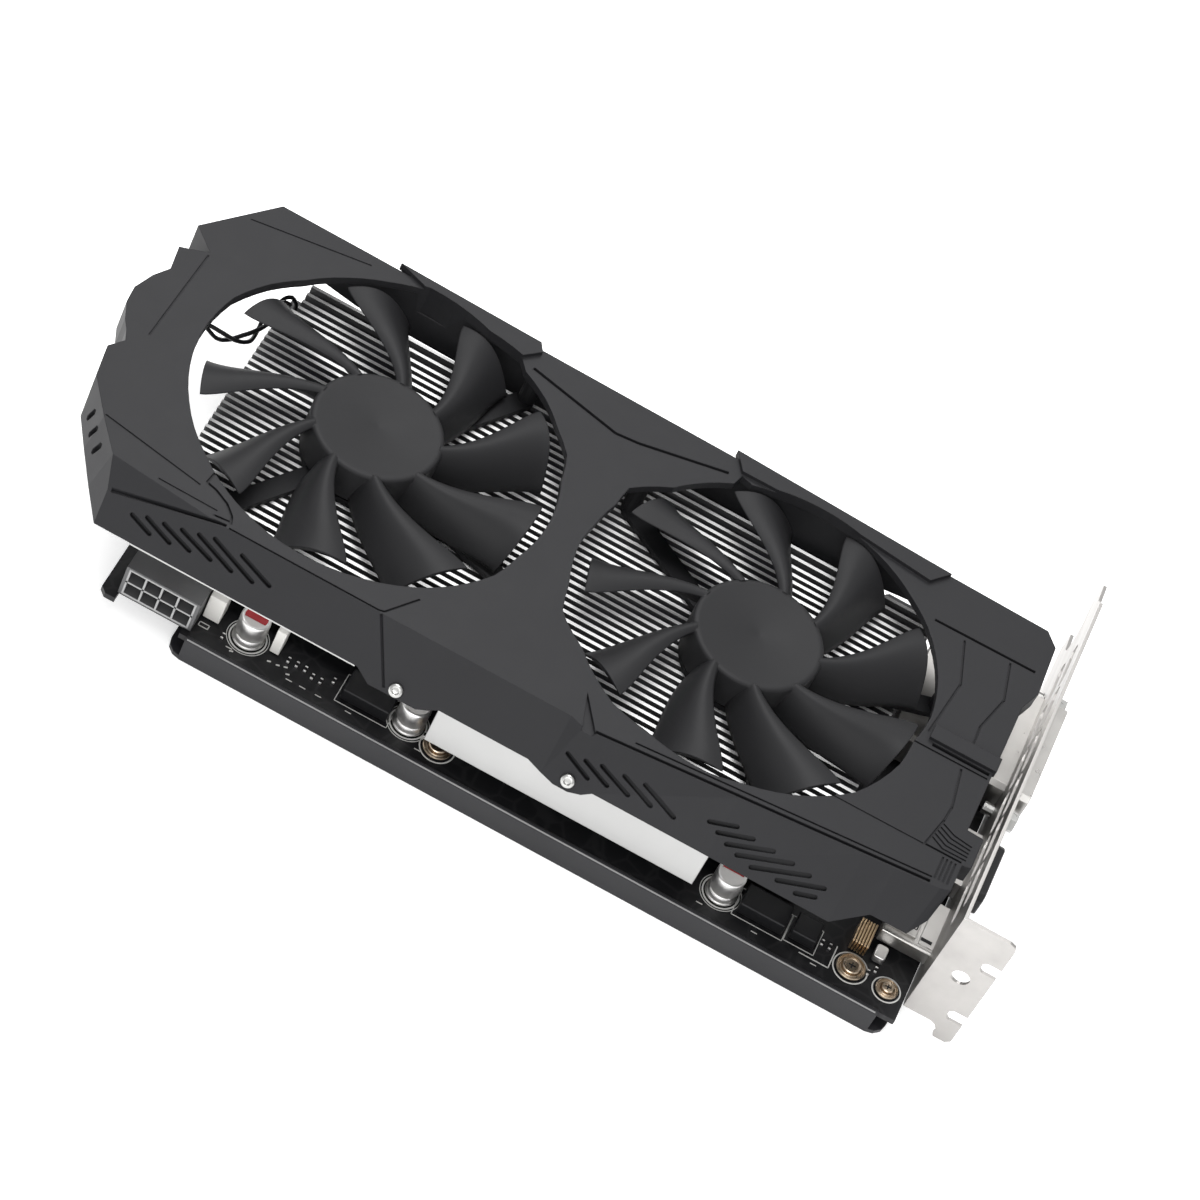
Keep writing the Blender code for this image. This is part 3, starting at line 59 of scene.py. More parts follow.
class Finish:
    """A Principled material whose colour, roughness and relief vary with fine noise."""

    def __init__(self, name, colour, roughness, metallic=0.0):
        self.material = bpy.data.materials.new(name)
        self.material.use_nodes = True
        self.tree = self.material.node_tree
        self.shader = self.tree.nodes["Principled BSDF"]
        self.colour = colour
        self.set("Base Color", (*colour, 1.0))
        self.set("Roughness", roughness)
        self.set("Metallic", metallic)
        self.roughness = roughness
        self.place = self.tree.nodes.new("ShaderNodeTexCoord").outputs["Object"]

    def set(self, socket, value):
        self.shader.inputs[socket].default_value = value

    def link(self, source, target):
        self.tree.links.new(source, target)

    def stretched(self, stretch):
        mapping = self.tree.nodes.new("ShaderNodeMapping")
        mapping.inputs["Scale"].default_value = stretch
        self.link(self.place, mapping.inputs["Vector"])
        return mapping.outputs["Vector"]

    def noise(self, scale, stretch=(1.0, 1.0, 1.0), detail=4.0):
        texture = self.tree.nodes.new("ShaderNodeTexNoise")
        texture.inputs["Scale"].default_value = scale
        texture.inputs["Detail"].default_value = detail
        self.link(self.stretched(stretch), texture.inputs["Vector"])
        return texture.outputs["Fac"]

    def ranged(self, value, low, high):
        node = self.tree.nodes.new("ShaderNodeMapRange")
        node.inputs["From Min"].default_value = 0.3
        node.inputs["From Max"].default_value = 0.7
        node.inputs["To Min"].default_value = low
        node.inputs["To Max"].default_value = high
        self.link(value, node.inputs["Value"])
        return node.outputs["Result"]

    def vary_colour(self, scale, share, stretch=(1.0, 1.0, 1.0)):
        ramp = self.tree.nodes.new("ShaderNodeValToRGB")
        low = [max(0.0, c * (1 - share)) for c in self.colour]
        high = [min(1.0, c * (1 + share)) for c in self.colour]
        ramp.color_ramp.elements[0].position = 0.3
        ramp.color_ramp.elements[1].position = 0.7
        ramp.color_ramp.elements[0].color = (*low, 1.0)
        ramp.color_ramp.elements[1].color = (*high, 1.0)
        self.link(self.noise(scale, stretch), ramp.inputs["Fac"])
        self.link(ramp.outputs["Color"], self.shader.inputs["Base Color"])
        return self

    def vary_roughness(self, scale, spread, stretch=(1.0, 1.0, 1.0)):
        low, high = self.roughness - spread, self.roughness + spread
        self.link(self.ranged(self.noise(scale, stretch), low, high), self.shader.inputs["Roughness"])
        return self

    def relief(self, scale, height, stretch=(1.0, 1.0, 1.0), edge=0.0):
        """Fine bumps, and corners that catch light as if slightly rounded."""
        bump = self.tree.nodes.new("ShaderNodeBump")
        bump.inputs["Strength"].default_value = 1.0
        bump.inputs["Distance"].default_value = height
        self.link(self.noise(scale, stretch, 2.0), bump.inputs["Height"])
        if edge:
            bevel = self.tree.nodes.new("ShaderNodeBevel")
            bevel.samples = 4
            bevel.inputs["Radius"].default_value = edge
            self.link(bevel.outputs["Normal"], bump.inputs["Normal"])
        self.link(bump.outputs["Normal"], self.shader.inputs["Normal"])
        return self


def plastic(name, colour, roughness, grain=1400.0, height=0.00001, edge=0.0003, specular=0.5):
    finish = Finish(name, colour, roughness)
    finish.set("Specular IOR Level", specular)
    finish.vary_colour(60.0, 0.03).vary_roughness(180.0, 0.015).relief(grain, height, edge=edge)
    return finish


def metal(name, colour, roughness, stretch=(1.0, 1.0, 1.0), edge=0.0002, height=0.000006):
    finish = Finish(name, colour, roughness, 1.0)
    finish.vary_colour(140.0, 0.05, stretch).vary_roughness(260.0, 0.07, stretch)
    finish.relief(900.0, height, stretch, edge)
    return finish


def make_finishes():
    made = {
        "shroud": plastic("shroud_plastic", (0.014, 0.014, 0.0155), 0.5, specular=0.18),
        "fan": plastic("fan_plastic", (0.013, 0.013, 0.014), 0.5, 1100.0, specular=0.16),
        "frame": plastic("frame_plastic", (0.008, 0.008, 0.009), 0.6, specular=0.2),
        "moulded": plastic("moulded_plastic_and_painted_shade", (0.012, 0.012, 0.013), 0.45, specular=0.25),
        "housing": plastic("power_housing", (0.085, 0.085, 0.087), 0.45, specular=0.35),
        # painted highlight on the cell walls of the power housing's mouth
        "grid": plastic("housing_mouth_painted_highlight", (0.3, 0.3, 0.3), 0.45),
        # painted highlight along the backplate rail's top edge
        "rail": plastic("rail_painted_highlight", (0.22, 0.22, 0.22), 0.45),
        "ivory": plastic("header_plastic", (0.7, 0.69, 0.66), 0.42),
        "chip": plastic("chip_epoxy_and_painted_shade", (0.007, 0.007, 0.008), 0.4, 2200.0, specular=0.25),
        "ink": plastic("board_ink", (0.62, 0.62, 0.6), 0.6),
        "red": plastic("marking_red", (0.3, 0.012, 0.016), 0.4),
        "backplate": plastic("backplate_paint", (0.014, 0.014, 0.016), 0.4, 2600.0, specular=0.25),
        "wire": plastic("wire_cover", (0.007, 0.007, 0.008), 0.4, specular=0.3),
        "green": plastic("package_green", (0.03, 0.12, 0.06), 0.4),
        "side": plastic("block_side", (0.43, 0.43, 0.425), 0.5, 500.0, 0.000004),
        "steel": metal("plated_steel", (0.42, 0.42, 0.41), 0.3, height=0.000002),
        "bracket": metal("bracket_steel", (0.4, 0.388, 0.376), 0.42, (1.0, 0.06, 1.0), height=0.000003),
        "shell": metal("shell_plate", (0.42, 0.41, 0.395), 0.34, height=0.000003),
        "copper": metal("bare_copper", (0.72, 0.36, 0.2), 0.3),
        "winding": metal("coil_copper", (0.5, 0.22, 0.08), 0.35),
        "can": metal("drawn_can", (0.8, 0.79, 0.78), 0.38, height=0.000001),
        "gold": metal("gold_plate", (0.56, 0.46, 0.35), 0.32, height=0.000001),
        "coil": metal("flat_copper", (0.66, 0.49, 0.31), 0.3, height=0.000002),
        "silicon": metal("silicon", (0.2, 0.21, 0.24), 0.15),
        "fins": fin_painted_light_finish(),
    }
    made["board"] = board_finish()
    return {key: finish.material for key, finish in made.items()}


def fin_painted_light_finish():
    """Painted light: the rolled edges that look up are painted bright as a painted highlight, and the flats
    between the fins are painted dark as painted shade.
    """
    finish = Finish("fin_sheet_painted_light", (0.9, 0.9, 0.9), 0.45)
    finish.vary_roughness(180.0, 0.015).relief(500.0, 0.000002)
    facing = finish.tree.nodes.new("ShaderNodeNewGeometry").outputs["Normal"]
    split = finish.tree.nodes.new("ShaderNodeSeparateXYZ")
    finish.link(facing, split.inputs["Vector"])
    # painted shade on faces that look sideways, painted highlight on faces that look up
    ramp = finish.tree.nodes.new("ShaderNodeValToRGB")
    ramp.color_ramp.elements[0].position = 0.4
    ramp.color_ramp.elements[0].color = (0.07, 0.07, 0.072, 1.0)
    ramp.color_ramp.elements[1].position = 0.8
    ramp.color_ramp.elements[1].color = (0.93, 0.93, 0.93, 1.0)
    finish.link(split.outputs["Z"], ramp.inputs["Fac"])
    finish.link(ramp.outputs["Color"], finish.shader.inputs["Base Color"])
    return finish


def board_finish():
    """Solder mask over copper: the traces show as a slightly raised, slightly lighter web."""
    finish = Finish("solder_mask", (0.008, 0.008, 0.009), 0.4)
    finish.set("Specular IOR Level", 0.25)
    cells = finish.tree.nodes.new("ShaderNodeTexVoronoi")
    cells.feature = "DISTANCE_TO_EDGE"
    cells.inputs["Scale"].default_value = 170.0
    finish.link(finish.stretched((1.0, 1.0, 0.05)), cells.inputs["Vector"])
    ramp = finish.tree.nodes.new("ShaderNodeValToRGB")
    ramp.color_ramp.elements[0].position = 0.03
    ramp.color_ramp.elements[0].color = (0.014, 0.014, 0.015, 1.0)
    ramp.color_ramp.elements[1].position = 0.07
    ramp.color_ramp.elements[1].color = (0.008, 0.008, 0.009, 1.0)
    finish.link(cells.outputs["Distance"], ramp.inputs["Fac"])
    finish.link(ramp.outputs["Color"], finish.shader.inputs["Base Color"])
    bump = finish.tree.nodes.new("ShaderNodeBump")
    bump.invert = True
    bump.inputs["Distance"].default_value = 0.00002
    finish.link(cells.outputs["Distance"], bump.inputs["Height"])
    finish.link(bump.outputs["Normal"], finish.shader.inputs["Normal"])
    return finish


finishes = make_finishes()


# Mesh building


def shared(point):
    """From the card's own frame in millimetres to the shared frame in metres."""
    return (Vector(point) + ORIGIN) * MM


def piece(name, shape, finish, body="card", replaces=(), smooth=40):
    bmesh.ops.recalc_face_normals(shape, faces=shape.faces)
    for vertex in shape.verts:
        vertex.co = shared(vertex.co)
    mesh = bpy.data.meshes.new(name)
    shape.to_mesh(mesh)
    shape.free()
    mesh.materials.append(finishes[finish])
    mesh.shade_smooth()
    mesh.set_sharp_from_angle(angle=math.radians(smooth))
    obj = bpy.data.objects.new(name, mesh)
    bpy.context.scene.collection.objects.link(obj)
    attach(obj, body)
    if replaces:
        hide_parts(*replaces)
    return obj


def rounding(obj, width, segments=2):
    bevel = obj.modifiers.new("Rounding", "BEVEL")
    bevel.width = width * MM
    bevel.segments = segments
    bevel.limit_method = "ANGLE"
    bevel.angle_limit = math.radians(35)
    bevel.harden_normals = True
    return obj


def ring_stack(shape, rings, closed=False):
    """Skins rings of equal length; the ends are filled unless the last ring meets the first."""
    made = [[shape.verts.new(point) for point in ring] for ring in rings]
    pairs = list(zip(made, made[1:]))
    if closed:
        pairs.append((made[-1], made[0]))
    count = len(rings[0])
    for lower, upper in pairs:
        for i in range(count):
            j = (i + 1) % count
            shape.faces.new((lower[i], lower[j], upper[j], upper[i]))
    if not closed:
        shape.faces.new(list(reversed(made[0])))
        shape.faces.new(made[-1])


def circle(centre, radius, z, steps):
    x, y = centre
    angles = [2 * math.pi * i / steps for i in range(steps)]
    return [Vector((x + radius * math.cos(a), y + radius * math.sin(a), z)) for a in angles]


def turned(shape, centre, profile, steps=64):
    ring_stack(shape, [circle(centre, radius, z, steps) for radius, z in profile])


def tube_ring(shape, centre, radius, thick, z, steps=64):
    """A flat printed ring lying at one level."""
    inner, outer = radius - thick / 2, radius + thick / 2
    rings = [circle(centre, inner, z, steps), circle(centre, outer, z, steps)]
    top = z + PRINT_HEIGHT
    rings += [circle(centre, outer, top, steps), circle(centre, inner, top, steps)]
    ring_stack(shape, rings, closed=True)


def box(shape, x0, x1, y0, y1, z0, z1):
    corners = ((x0, y0), (x1, y0), (x1, y1), (x0, y1))
    ring_stack(shape, [[Vector((x, y, z)) for x, y in corners] for z in (z0, z1)])


def line(shape, start, end, width, z):
    """A flat printed line from one point to another."""
    start, end = Vector((*start, z)), Vector((*end, z))
    side = (end - start).normalized().cross(Vector((0, 0, 1))) * (width / 2)
    low = [start - side, end - side, end + side, start + side]
    ring_stack(shape, [low, [point + Vector((0, 0, PRINT_HEIGHT)) for point in low]])


def frame_lines(shape, x0, x1, y0, y1, width, z):
    corners = ((x0, y0), (x1, y0), (x1, y1), (x0, y1), (x0, y0))
    for start, end in zip(corners, corners[1:]):
        line(shape, start, end, width, z)


def lay_on(shape, point, tilt):
    """Tilts a shape drawn about its own origin back about X, then moves it to its place."""
    turn = Matrix.Translation(Vector(point)) @ Matrix.Rotation(tilt, 4, "X")
    shape.transform(turn)
    return shape


# CAD pieces that keep their shape

NODE_FINISHES = {
    "shroud": ("fan_shroud",),
    "frame": ("fan_left_frame", "fan_right_frame"),
    "steel": ("fan_left_shaft", "fan_right_shaft", "dvi_nut_front", "dvi_nut_back"),
    "winding": ("fan_left_stator", "fan_right_stator"),
    "bracket": ("io_bracket",),
    "fins": ("heat_sink_fins",),
    "copper": ("heat_sink_cold_plate", "heat_pipe_front", "heat_pipe_back"),
    "backplate": ("backplate",),
    "board": ("circuit_board",),
    "green": ("gpu_substrate",),
    "silicon": ("gpu_die",),
    "shell": ("hdmi_connector", "displayport_connector", "dvi_connector"),
    "moulded": ("displayport_dust_cap",),
    "housing": ("power_connector",),
    "ivory": ("fan_header_left", "fan_header_right"),
    "can": ("oscillator",),
    "wire": ("fan_lead_a", "fan_lead_b"),
}
ROUNDED_NODES = {
    "fan_header_left": 0.25,
    "fan_header_right": 0.25,
    "displayport_dust_cap": 0.5,
    "oscillator": 0.3,
}


def clean(obj):
    """Merges the flat triangles of a CAD piece, so that a rounding follows its real edges."""
    weld = obj.modifiers.new("Weld", "WELD")
    weld.merge_threshold = 0.002 * MM
    flat = obj.modifiers.new("Flat", "DECIMATE")
    flat.decimate_type = "DISSOLVE"
    flat.angle_limit = math.radians(1.0)
    return obj


def dress_nodes():
    for key, names in NODE_FINISHES.items():
        for name in names:
            nodes[name].data.materials.clear()
            nodes[name].data.materials.append(finishes[key])
    for name, obj in nodes.items():
        if name.startswith("spring_screw"):
            obj.data.materials.clear()
            obj.data.materials.append(finishes["steel"])
        if name.startswith(("memory_chip", "choke_inner")):
            obj.data.materials.clear()
            obj.data.materials.append(finishes["chip"])
            rounding(clean(obj), 0.3, 2)
    for name, width in ROUNDED_NODES.items():
        rounding(clean(nodes[name]), width, 3)


# Fans

HUB_RADIUS = 16.1
HUB_TOP = -1.0
HUB_CEILING = -2.6
HUB_FOOT = -10.8
HUB_SKIN = 1.5
HUB_EDGE = 0.9  # rounding of the hub's rim
HUB_EDGE_ANGLES = (1.57, 1.2, 0.8, 0.4, 0.0)
COLLAR = (3.2, 4.4, -5.2)  # inner and outer radius of the shaft's collar, and its foot
BLADES = 9
ROOT = 15.2
TIP = 42.3
SWEEP = 27.5  # degrees by which a blade's root trails its tip
BEND = 1.5
CHORD_ROOT = 20.5  # degrees
CHORD_TIP = 24.5
HIGH = -1.6
LOW = -10.2
FALL = 2.4
ARCH = 1.2
THIN = 0.3
THICK = 0.75
STATIONS = 22
ACROSS = 18


def blade_ring(share, phase):
    """One section of a blade: rounded at both edges, and drawn in a little towards the tip."""
    radius = ROOT + (TIP - ROOT) * share
    lead = phase - SWEEP * (1 - share) ** BEND
    chord = CHORD_ROOT + (CHORD_TIP - CHORD_ROOT) * share
    upper, lower = [], []
    for i in range(ACROSS):
        u = i / (ACROSS - 1)
        angle = math.radians(lead - chord * u)
        height = HIGH + (LOW - HIGH) * u ** FALL + ARCH * math.sin(math.pi * u)
        edge = math.sqrt(max(0.0, 1 - (2 * u - 1) ** 8))
        half = (THIN + THICK * math.sin(math.pi * u)) / 2 * (0.15 + 0.85 * edge)
        x, y = radius * math.cos(angle), radius * math.sin(angle)
        upper.append(Vector((x, y, height + half)))
        lower.append(Vector((x, y, height - half)))
    return upper + lower[::-1]


def hub_profile():
    """A cup with a shaft collar inside, a rounded rim and a shallow step round its flat top."""
    bore, collar, foot = COLLAR
    wall = HUB_RADIUS - HUB_SKIN
    profile = [(bore, HUB_CEILING), (bore, foot), (collar, foot), (collar, HUB_CEILING)]
    profile += [(wall, HUB_CEILING), (wall, HUB_FOOT), (HUB_RADIUS, HUB_FOOT)]
    for angle in HUB_EDGE_ANGLES:
        out, up = HUB_EDGE * math.sin(angle), HUB_EDGE * math.cos(angle)
        profile.append((HUB_RADIUS - HUB_EDGE + out, HUB_TOP - HUB_EDGE + up))
    profile += [(HUB_RADIUS - 1.4, HUB_TOP + 0.04), (HUB_RADIUS - 1.7, HUB_TOP - 0.02)]
    return profile + [(0.9, HUB_TOP - 0.02), (0.5, HUB_TOP - 0.12)]


def add_rotor(side):
    x, y, phase = FANS[side]
    shape = bmesh.new()
    turned(shape, (0.0, 0.0), hub_profile(), 96)
    for i in range(BLADES):
        turn = phase + 360.0 / BLADES * i
        ring_stack(shape, [blade_ring(k / (STATIONS - 1), turn) for k in range(STATIONS)])
    for vertex in shape.verts:
        vertex.co += Vector((x, y, 0.0))
    node = f"fan_{side}_rotor"
    piece(f"rotor_{side}", shape, "fan", f"fan_{side}", (node,), 50)


# Board pieces

CAPACITORS = {"left": (-173.3, 0.7), "middle": (-131.6, 1.0), "right": (-50.0, 1.1)}
MARK_STARTS = {"left": -20.0, "middle": 5.0, "right": 12.0}  # degrees at which the straight edge meets the rim


CAN_RADIUS = 3.7
CAN_TOP = -26.9
CAN_SHOULDER = 0.55
CAN_DIMPLE = 0.12
MARK_RADIUS = 3.0
MARK_STEPS = 18


def can_profile():
    """Drawn can: a flange on the board, a rolled groove over it and a beaded shoulder."""
    r, top = CAN_RADIUS, CAN_TOP
    profile = [(r + 0.25, SEAT), (r + 0.25, SEAT + 0.4), (r, SEAT + 0.6)]
    profile += [(r, SEAT + 1.8), (r - 0.35, SEAT + 2.3), (r, SEAT + 2.9)]
    for angle in (1.57, 1.1, 0.7, 0.3):
        out, up = CAN_SHOULDER * math.sin(angle), CAN_SHOULDER * math.cos(angle)
        profile.append((r - CAN_SHOULDER + out, top - CAN_SHOULDER + up))
    return profile + [(r - 0.8, top), (r - 1.0, top - CAN_DIMPLE), (0.4, top - CAN_DIMPLE)]


def add_capacitor(place):
    """A can, and the red mark that covers the back of its top up to a straight edge."""
    x, y = CAPACITORS[place]
    shape = bmesh.new()
    turned(shape, (x, y), can_profile())
    piece(f"can_{place}", shape, "can", replaces=(f"capacitor_{place}",))
    start = MARK_STARTS[place]
    span = 180 - 2 * start
    outline = []
    for i in range(MARK_STEPS + 1):
        angle = math.radians(start + span * i / MARK_STEPS)
        across = Vector((MARK_RADIUS * math.cos(angle), MARK_RADIUS * math.sin(angle), 0.0))
        outline.append(Vector((x, y, CAN_TOP - CAN_DIMPLE + 0.01)) + across)
    mark = bmesh.new()
    ring_stack(mark, [outline, [point + Vector((0, 0, 0.06)) for point in outline]])
    piece(f"can_mark_{place}", mark, "red")


BOARD_SCREWS = {"left": (-123.0, -1.3, 3.6), "right": (-15.7, -0.3, 3.6), "corner": (-6.1, -0.9, 2.8)}


SHANK_RADIUS = 1.3
SHANK_FOOT = -39.2
WASHER = ((0.0, 0.0), (0.0, 0.35), (0.25, 0.5), (0.5, 0.1), (0.7, 0.1), (0.95, 0.5), (1.15, 0.1))
PAN_HEAD = ((1.25, 1.0), (1.45, 1.25), (1.9, 1.3), (2.0, 1.05))  # like WASHER: inset from the rim, height
HEAD_TOP = 1.0
CROSS_REACH = 0.9
CROSS_HALF = 0.2


def add_board_screw(place):
    """A washer with turned rings, a pan head on it and a cross recess; the recess is a flat dark cross laid on
    the head, painted shade.
    """
    x, y, r = BOARD_SCREWS[place]
    top = SEAT + HEAD_TOP
    shape = bmesh.new()
    profile = [(SHANK_RADIUS, SHANK_FOOT), (SHANK_RADIUS, SEAT)]
    profile += [(r - inset, SEAT + height) for inset, height in WASHER + PAN_HEAD]
    turned(shape, (x, y), profile + [(0.5, top)])
    node = f"board_screw_{place}"
    piece(f"washer_screw_{place}", shape, "gold", replaces=(node,), smooth=25)
    # painted shade: a dark cross laid on the head where the recess lies in shadow
    cross = bmesh.new()
    box(cross, x - CROSS_REACH, x + CROSS_REACH, y - CROSS_HALF, y + CROSS_HALF, top, top + 0.04)
    box(cross, x - CROSS_HALF, x + CROSS_HALF, y - CROSS_REACH, y + CROSS_REACH, top, top + 0.05)
    piece(f"recess_painted_shade_{place}", cross, "moulded")
    pad = bmesh.new()
    tube_ring(pad, (x, y), r + 0.65, 0.35, PRINT_LEVEL)
    piece(f"screw_ring_{place}", pad, "ink")


CHOKES = {
    "front_left": (-148.3, -136.2, -2.4, 4.9, -31.0),
    "front_middle": (-45.1, -33.4, -2.0, 4.9, -31.0),
    "front_right": (-31.8, -25.4, -1.4, 4.9, -31.4),
}


def add_choke(place):
    x0, x1, y0, y1, top = CHOKES[place]
    shape = bmesh.new()
    box(shape, x0, x1, y0, y1, SEAT, top)
    node = f"choke_{place}"
    rounding(piece(f"core_{place}", shape, "chip", replaces=(node,)), 0.5, 3)


# x, height over the skirt's edge, and how far the skirt leans in up to its crease
SHROUD_SCREWS = {"left": (-136.8, -0.5, 7.2), "right": (-93.3, 0.1, 5.9)}
LUG_HEAD = (
    (0.9, -4.6),
    (0.9, 0.15),
    (1.7, 0.15),
    (1.7, 0.6),
    (1.6, 0.85),
    (1.35, 1.05),
    (0.95, 1.12),
    (0.8, 1.05),
    (0.75, 0.55),
    (0.3, 0.5),
)


def add_shroud_screw(side):
    """A rounded pan head with a round recess, square to the skirt."""
    x, up, run = SHROUD_SCREWS[side]
    shape = bmesh.new()
    turned(shape, (0.0, up), LUG_HEAD, 48)
    lay_on(shape, (x, SKIRT_FOOT, SKIRT), math.atan2(-SKIRT, run))
    node = f"shroud_screw_{side}"
    piece(f"lug_screw_{side}", shape, "steel", replaces=(node,), smooth=30)


COIL_LEFT = -18.0
COIL_TOP = -31.0
TURNS = 6
TURN_PITCH = 0.72
TURN_HALF = 0.28


def add_winding():
    """Flat turns of the inductor beside the ports."""
    shape = bmesh.new()
    for i in range(TURNS):
        x = COIL_LEFT + TURN_PITCH * i
        box(shape, x - TURN_HALF, x + TURN_HALF, 4.3, 11.9, SEAT, COIL_TOP)
    obj = piece("inductor_turns", shape, "coil", replaces=("filter_coil",))
    rounding(obj, 0.25, 3)
    core = bmesh.new()
    box(core, -18.2, -14.1, 4.8, 11.4, SEAT, COIL_TOP - 0.5)
    rounding(piece("inductor_core", core, "chip"), 0.3, 2)


POWER_FACE = -6.0
CELL_PITCH = 4.2
FIRST_RIB = -203.15
LOW_RIB = -34.05
RIB_HALF = 0.25


def add_power_details():
    """A pale grid on the mouth of the power housing round its two rows of four cells: a painted highlight on
    the edges of the cell walls.
    """
    shape = bmesh.new()
    depth = (POWER_FACE - 0.06, POWER_FACE)
    for i in range(5):
        x = FIRST_RIB + CELL_PITCH * i
        box(shape, x - RIB_HALF, x + RIB_HALF, *depth, LOW_RIB + RIB_HALF, LOW_RIB + 8.15)
    right = FIRST_RIB + 4 * CELL_PITCH + RIB_HALF
    for i in range(3):
        z = LOW_RIB + CELL_PITCH * i
        box(shape, FIRST_RIB - RIB_HALF, right, *depth, z - RIB_HALF, z + RIB_HALF)
    piece("power_mouth_highlight", shape, "grid")


SMALL_MARKS = ((-175.4, -5.3), (-166.8, -2.6), (-164.6, -2.4), (-162.8, -1.8), (-161.6, -3.4))
FRONT_MARKS = (-176.6, -161.0, -157.5, -153.4, -145.6, -127.6, -54.2, -40.0, -24.6)


def add_ink():
    """Printed outlines round the soldered parts; no lettering."""
    z = PRINT_LEVEL
    shape = bmesh.new()
    for x, y in CAPACITORS.values():
        tube_ring(shape, (x, y), 4.45, 0.4, z)
        tube_ring(shape, (x, y), 5.1, 0.2, z)
    for x0, x1, y0, y1, _ in CHOKES.values():
        frame_lines(shape, x0 - 0.7, x1 + 0.7, y0 - 0.9, y1 + 0.6, 0.22, z)
    frame_lines(shape, -184.6, -182.2, -2.9, -1.7, 0.25, z)
    for x, y in SMALL_MARKS:
        line(shape, (x, y), (x + 0.9, y + 0.3), 0.4, z)
    corner = (-20.4, -3.4)
    line(shape, (-28.0, -3.4), corner, 0.3, z)
    line(shape, corner, (-20.4, 3.6), 0.3, z)
    for x in FRONT_MARKS:
        line(shape, (x, -4.6), (x + 1.6, -4.6), 0.25, z)
    piece("board_print", shape, "ink")


CHIP_PLACES = (
    (-178.4, -2.6),
    (-162.6, 0.4),
    (-160.4, 0.4),
    (-158.2, 0.4),
    (-156.0, -0.6),
    (-153.8, -0.6),
    (-151.2, 1.4),
    (-126.9, 0.2),
    (-24.0, 2.2),
    (-22.0, 2.2),
    (-11.6, 0.8),
    (-10.2, 2.6),
)
CHIP_FOOT = -34.95
CHIP_TOP = -34.4


def add_surface_parts():
    """Small resistors and capacitors soldered along the board's front strip."""
    bodies = bmesh.new()
    ends = bmesh.new()
    for x, y in CHIP_PLACES:
        box(bodies, x - 0.35, x + 0.35, y - 0.5, y + 0.5, CHIP_FOOT, CHIP_TOP)
        for middle in (y - 0.65, y + 0.65):
            box(ends, x - 0.36, x + 0.36, middle - 0.2, middle + 0.2, CHIP_FOOT, CHIP_TOP + 0.02)
    rounding(piece("chip_resistors", bodies, "chip"), 0.06, 2)
    rounding(piece("solder_ends", ends, "can"), 0.08, 2)


def rod_along_x(shape, left, right, y, z, radius, steps):
    ends = []
    for x in (left, right):
        ring = circle((y, z), radius, 0.0, steps)
        ends.append([Vector((x, point.x, point.y)) for point in ring])
    ring_stack(shape, ends)


def add_rail_highlight():
    """A pale rod along the backplate's rail: a painted highlight on its top edge."""
    edge = bmesh.new()
    rod_along_x(edge, -184.8, -6.4, -9.05, -34.05, 0.18, 10)
    piece("rail_painted_highlight", edge, "rail", smooth=60)


SHELL_TOP = -28.4
SPRING_TOP = SHELL_TOP + 0.9
WINDOWS = (-12.2, -9.9, -7.6)  # left edges
WINDOW_WIDTH = 1.5


def add_shell_details():
    """The rolled front edge of the port's shell, and its spring plate with three windows; the windows are dark
    outlines and the shell's gap is a dark strip, both painted shade.
    """
    rim = bmesh.new()
    rod_along_x(rim, -13.3, -0.1, 9.1, SHELL_TOP, 0.5, 16)
    piece("shell_rim", rim, "shell")
    plate = bmesh.new()
    box(plate, -13.0, -5.6, 10.8, 16.4, SHELL_TOP, SPRING_TOP)
    box(plate, -4.6, -0.4, 10.4, 24.0, SHELL_TOP, SHELL_TOP + 0.25)
    rounding(piece("spring_plate", plate, "shell"), 0.25, 3)
    # painted shade: dark outlines where the windows' edges fall into shadow
    windows = bmesh.new()
    for x in WINDOWS:
        frame_lines(windows, x, x + WINDOW_WIDTH, 13.0, 15.4, 0.3, SPRING_TOP)
    piece("plate_window_shade", windows, "chip")
    # painted shade: a dark strip where the gap in the shell lies in shadow
    gap = bmesh.new()
    box(gap, -4.4, -1.6, 11.4, 12.4, SHELL_TOP + 0.25, SHELL_TOP + 0.3)
    piece("shell_gap_shade", gap, "chip")


def add_skirt_lip():
    """The bright strip along the left part of the skirt's lower edge."""
    shape = bmesh.new()
    box(shape, -205.2, -147.6, -10.25, -9.65, -12.75, -12.2)
    rounding(piece("skirt_lip", shape, "side"), 0.1, 2)


SIDE_SHEETS = ((-126.5, -57.1, -4.62), (-205.6, -127.0, 5.05), (-56.6, -33.9, 5.05))  # left, right, face
SHEET_THICKNESS = 0.12


def add_side_sheet():
    """The smooth sheets over the front of the fin block."""
    shape = bmesh.new()
    for left, right, face in SIDE_SHEETS:
        box(shape, left, right, face, face + SHEET_THICKNESS, -30.4, -14.2)
    rounding(piece("block_side_sheet", shape, "side"), 0.04, 2)


# Camera, floor and light


CAMERA_PLACE = Vector((0.0095366, -0.6980638, 0.7903836))  # metres, in the shared frame
CAMERA_FORWARD = Vector((-0.004582, 0.669889, -0.742448))
CAMERA_RIGHT = Vector((0.879183, 0.356455, 0.316193))
CAMERA_LENS = 132.518


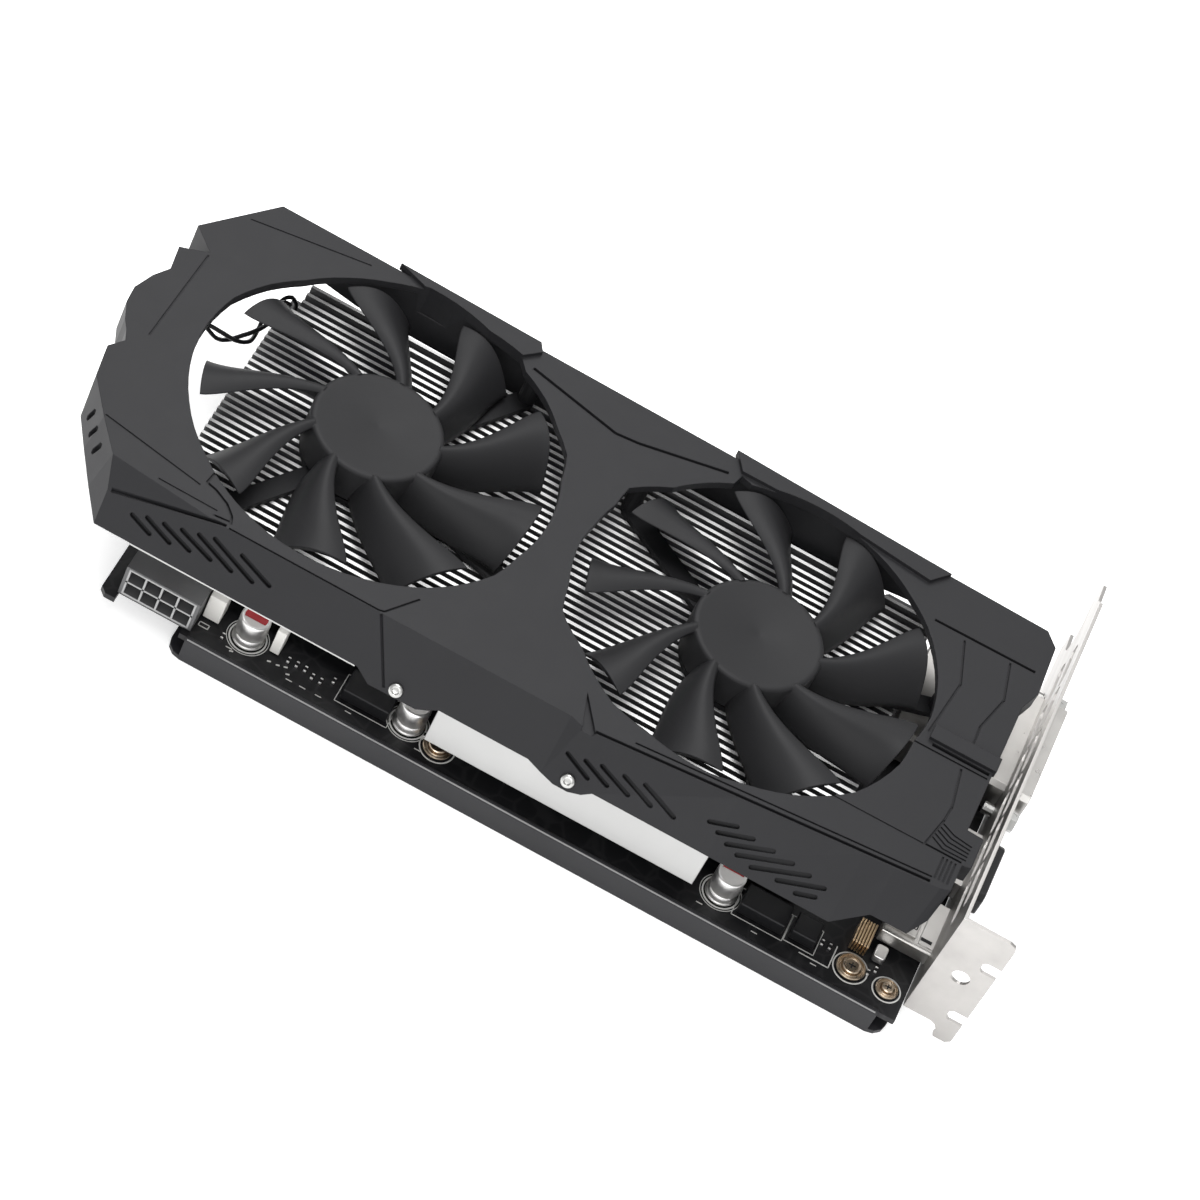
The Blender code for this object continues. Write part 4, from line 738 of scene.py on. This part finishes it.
def add_camera():
    data = bpy.data.cameras.new("camera")
    data.lens = CAMERA_LENS
    data.sensor_width = 36.0
    data.clip_start = 0.05
    data.clip_end = 20.0
    camera = bpy.data.objects.new("camera", data)
    forward = CAMERA_FORWARD.normalized()
    up = CAMERA_RIGHT.cross(forward).normalized()
    right = forward.cross(up).normalized()
    turn = Matrix((right, up, -forward)).transposed()
    camera.matrix_world = Matrix.Translation(CAMERA_PLACE) @ turn.to_4x4()
    bpy.context.scene.collection.objects.link(camera)
    bpy.context.scene.camera = camera


def add_floor():
    shape = bmesh.new()
    bmesh.ops.create_grid(shape, x_segments=1, y_segments=1, size=6.0)
    mesh = bpy.data.meshes.new("floor")
    shape.to_mesh(mesh)
    shape.free()
    floor = bpy.data.objects.new("floor", mesh)
    floor.location.z = -0.0002
    paper = Finish("floor_paper", (0.93, 0.93, 0.93), 0.9)
    paper.set("Emission Color", (1.0, 1.0, 1.0, 1.0))
    paper.set("Emission Strength", 0.4)
    mesh.materials.append(paper.material)
    bpy.context.scene.collection.objects.link(floor)


def add_area(name, place, target, size, power):
    data = bpy.data.lights.new(name, "AREA")
    data.shape = "RECTANGLE"
    data.size, data.size_y = size
    data.energy = power
    lamp = bpy.data.objects.new(name, data)
    lamp.location = place
    lamp.rotation_euler = (Vector(target) - Vector(place)).to_track_quat("-Z", "Y").to_euler()
    bpy.context.scene.collection.objects.link(lamp)


CENTRE = (0.0, 0.0, 0.0)


def add_lights():
    """Even studio light: a sky, a key from behind, one from above for the fins and one for the front."""
    world = bpy.data.worlds.new("studio")
    world.use_nodes = True
    world.node_tree.nodes["Background"].inputs["Color"].default_value = (1.0, 1.0, 1.0, 1.0)
    world.node_tree.nodes["Background"].inputs["Strength"].default_value = 0.8
    bpy.context.scene.world = world
    bpy.context.scene.view_settings.view_transform = "Standard"
    add_area("key", (-0.5, 0.9, 1.5), CENTRE, (1.4, 1.0), 20.0)
    add_area("top", (-0.1, -0.1, 1.6), CENTRE, (0.7, 0.5), 15.0)
    add_area("front", (0.1, -1.6, 0.9), CENTRE, (1.4, 0.8), 14.0)


dress_nodes()
for fan in FANS:
    add_rotor(fan)
for spot in CAPACITORS:
    add_capacitor(spot)
for spot in BOARD_SCREWS:
    add_board_screw(spot)
for spot in CHOKES:
    add_choke(spot)
for spot in SHROUD_SCREWS:
    add_shroud_screw(spot)
add_winding()
add_power_details()
add_ink()
add_surface_parts()
add_rail_highlight()
add_shell_details()
add_side_sheet()
add_skirt_lip()
add_camera()
add_floor()
add_lights()
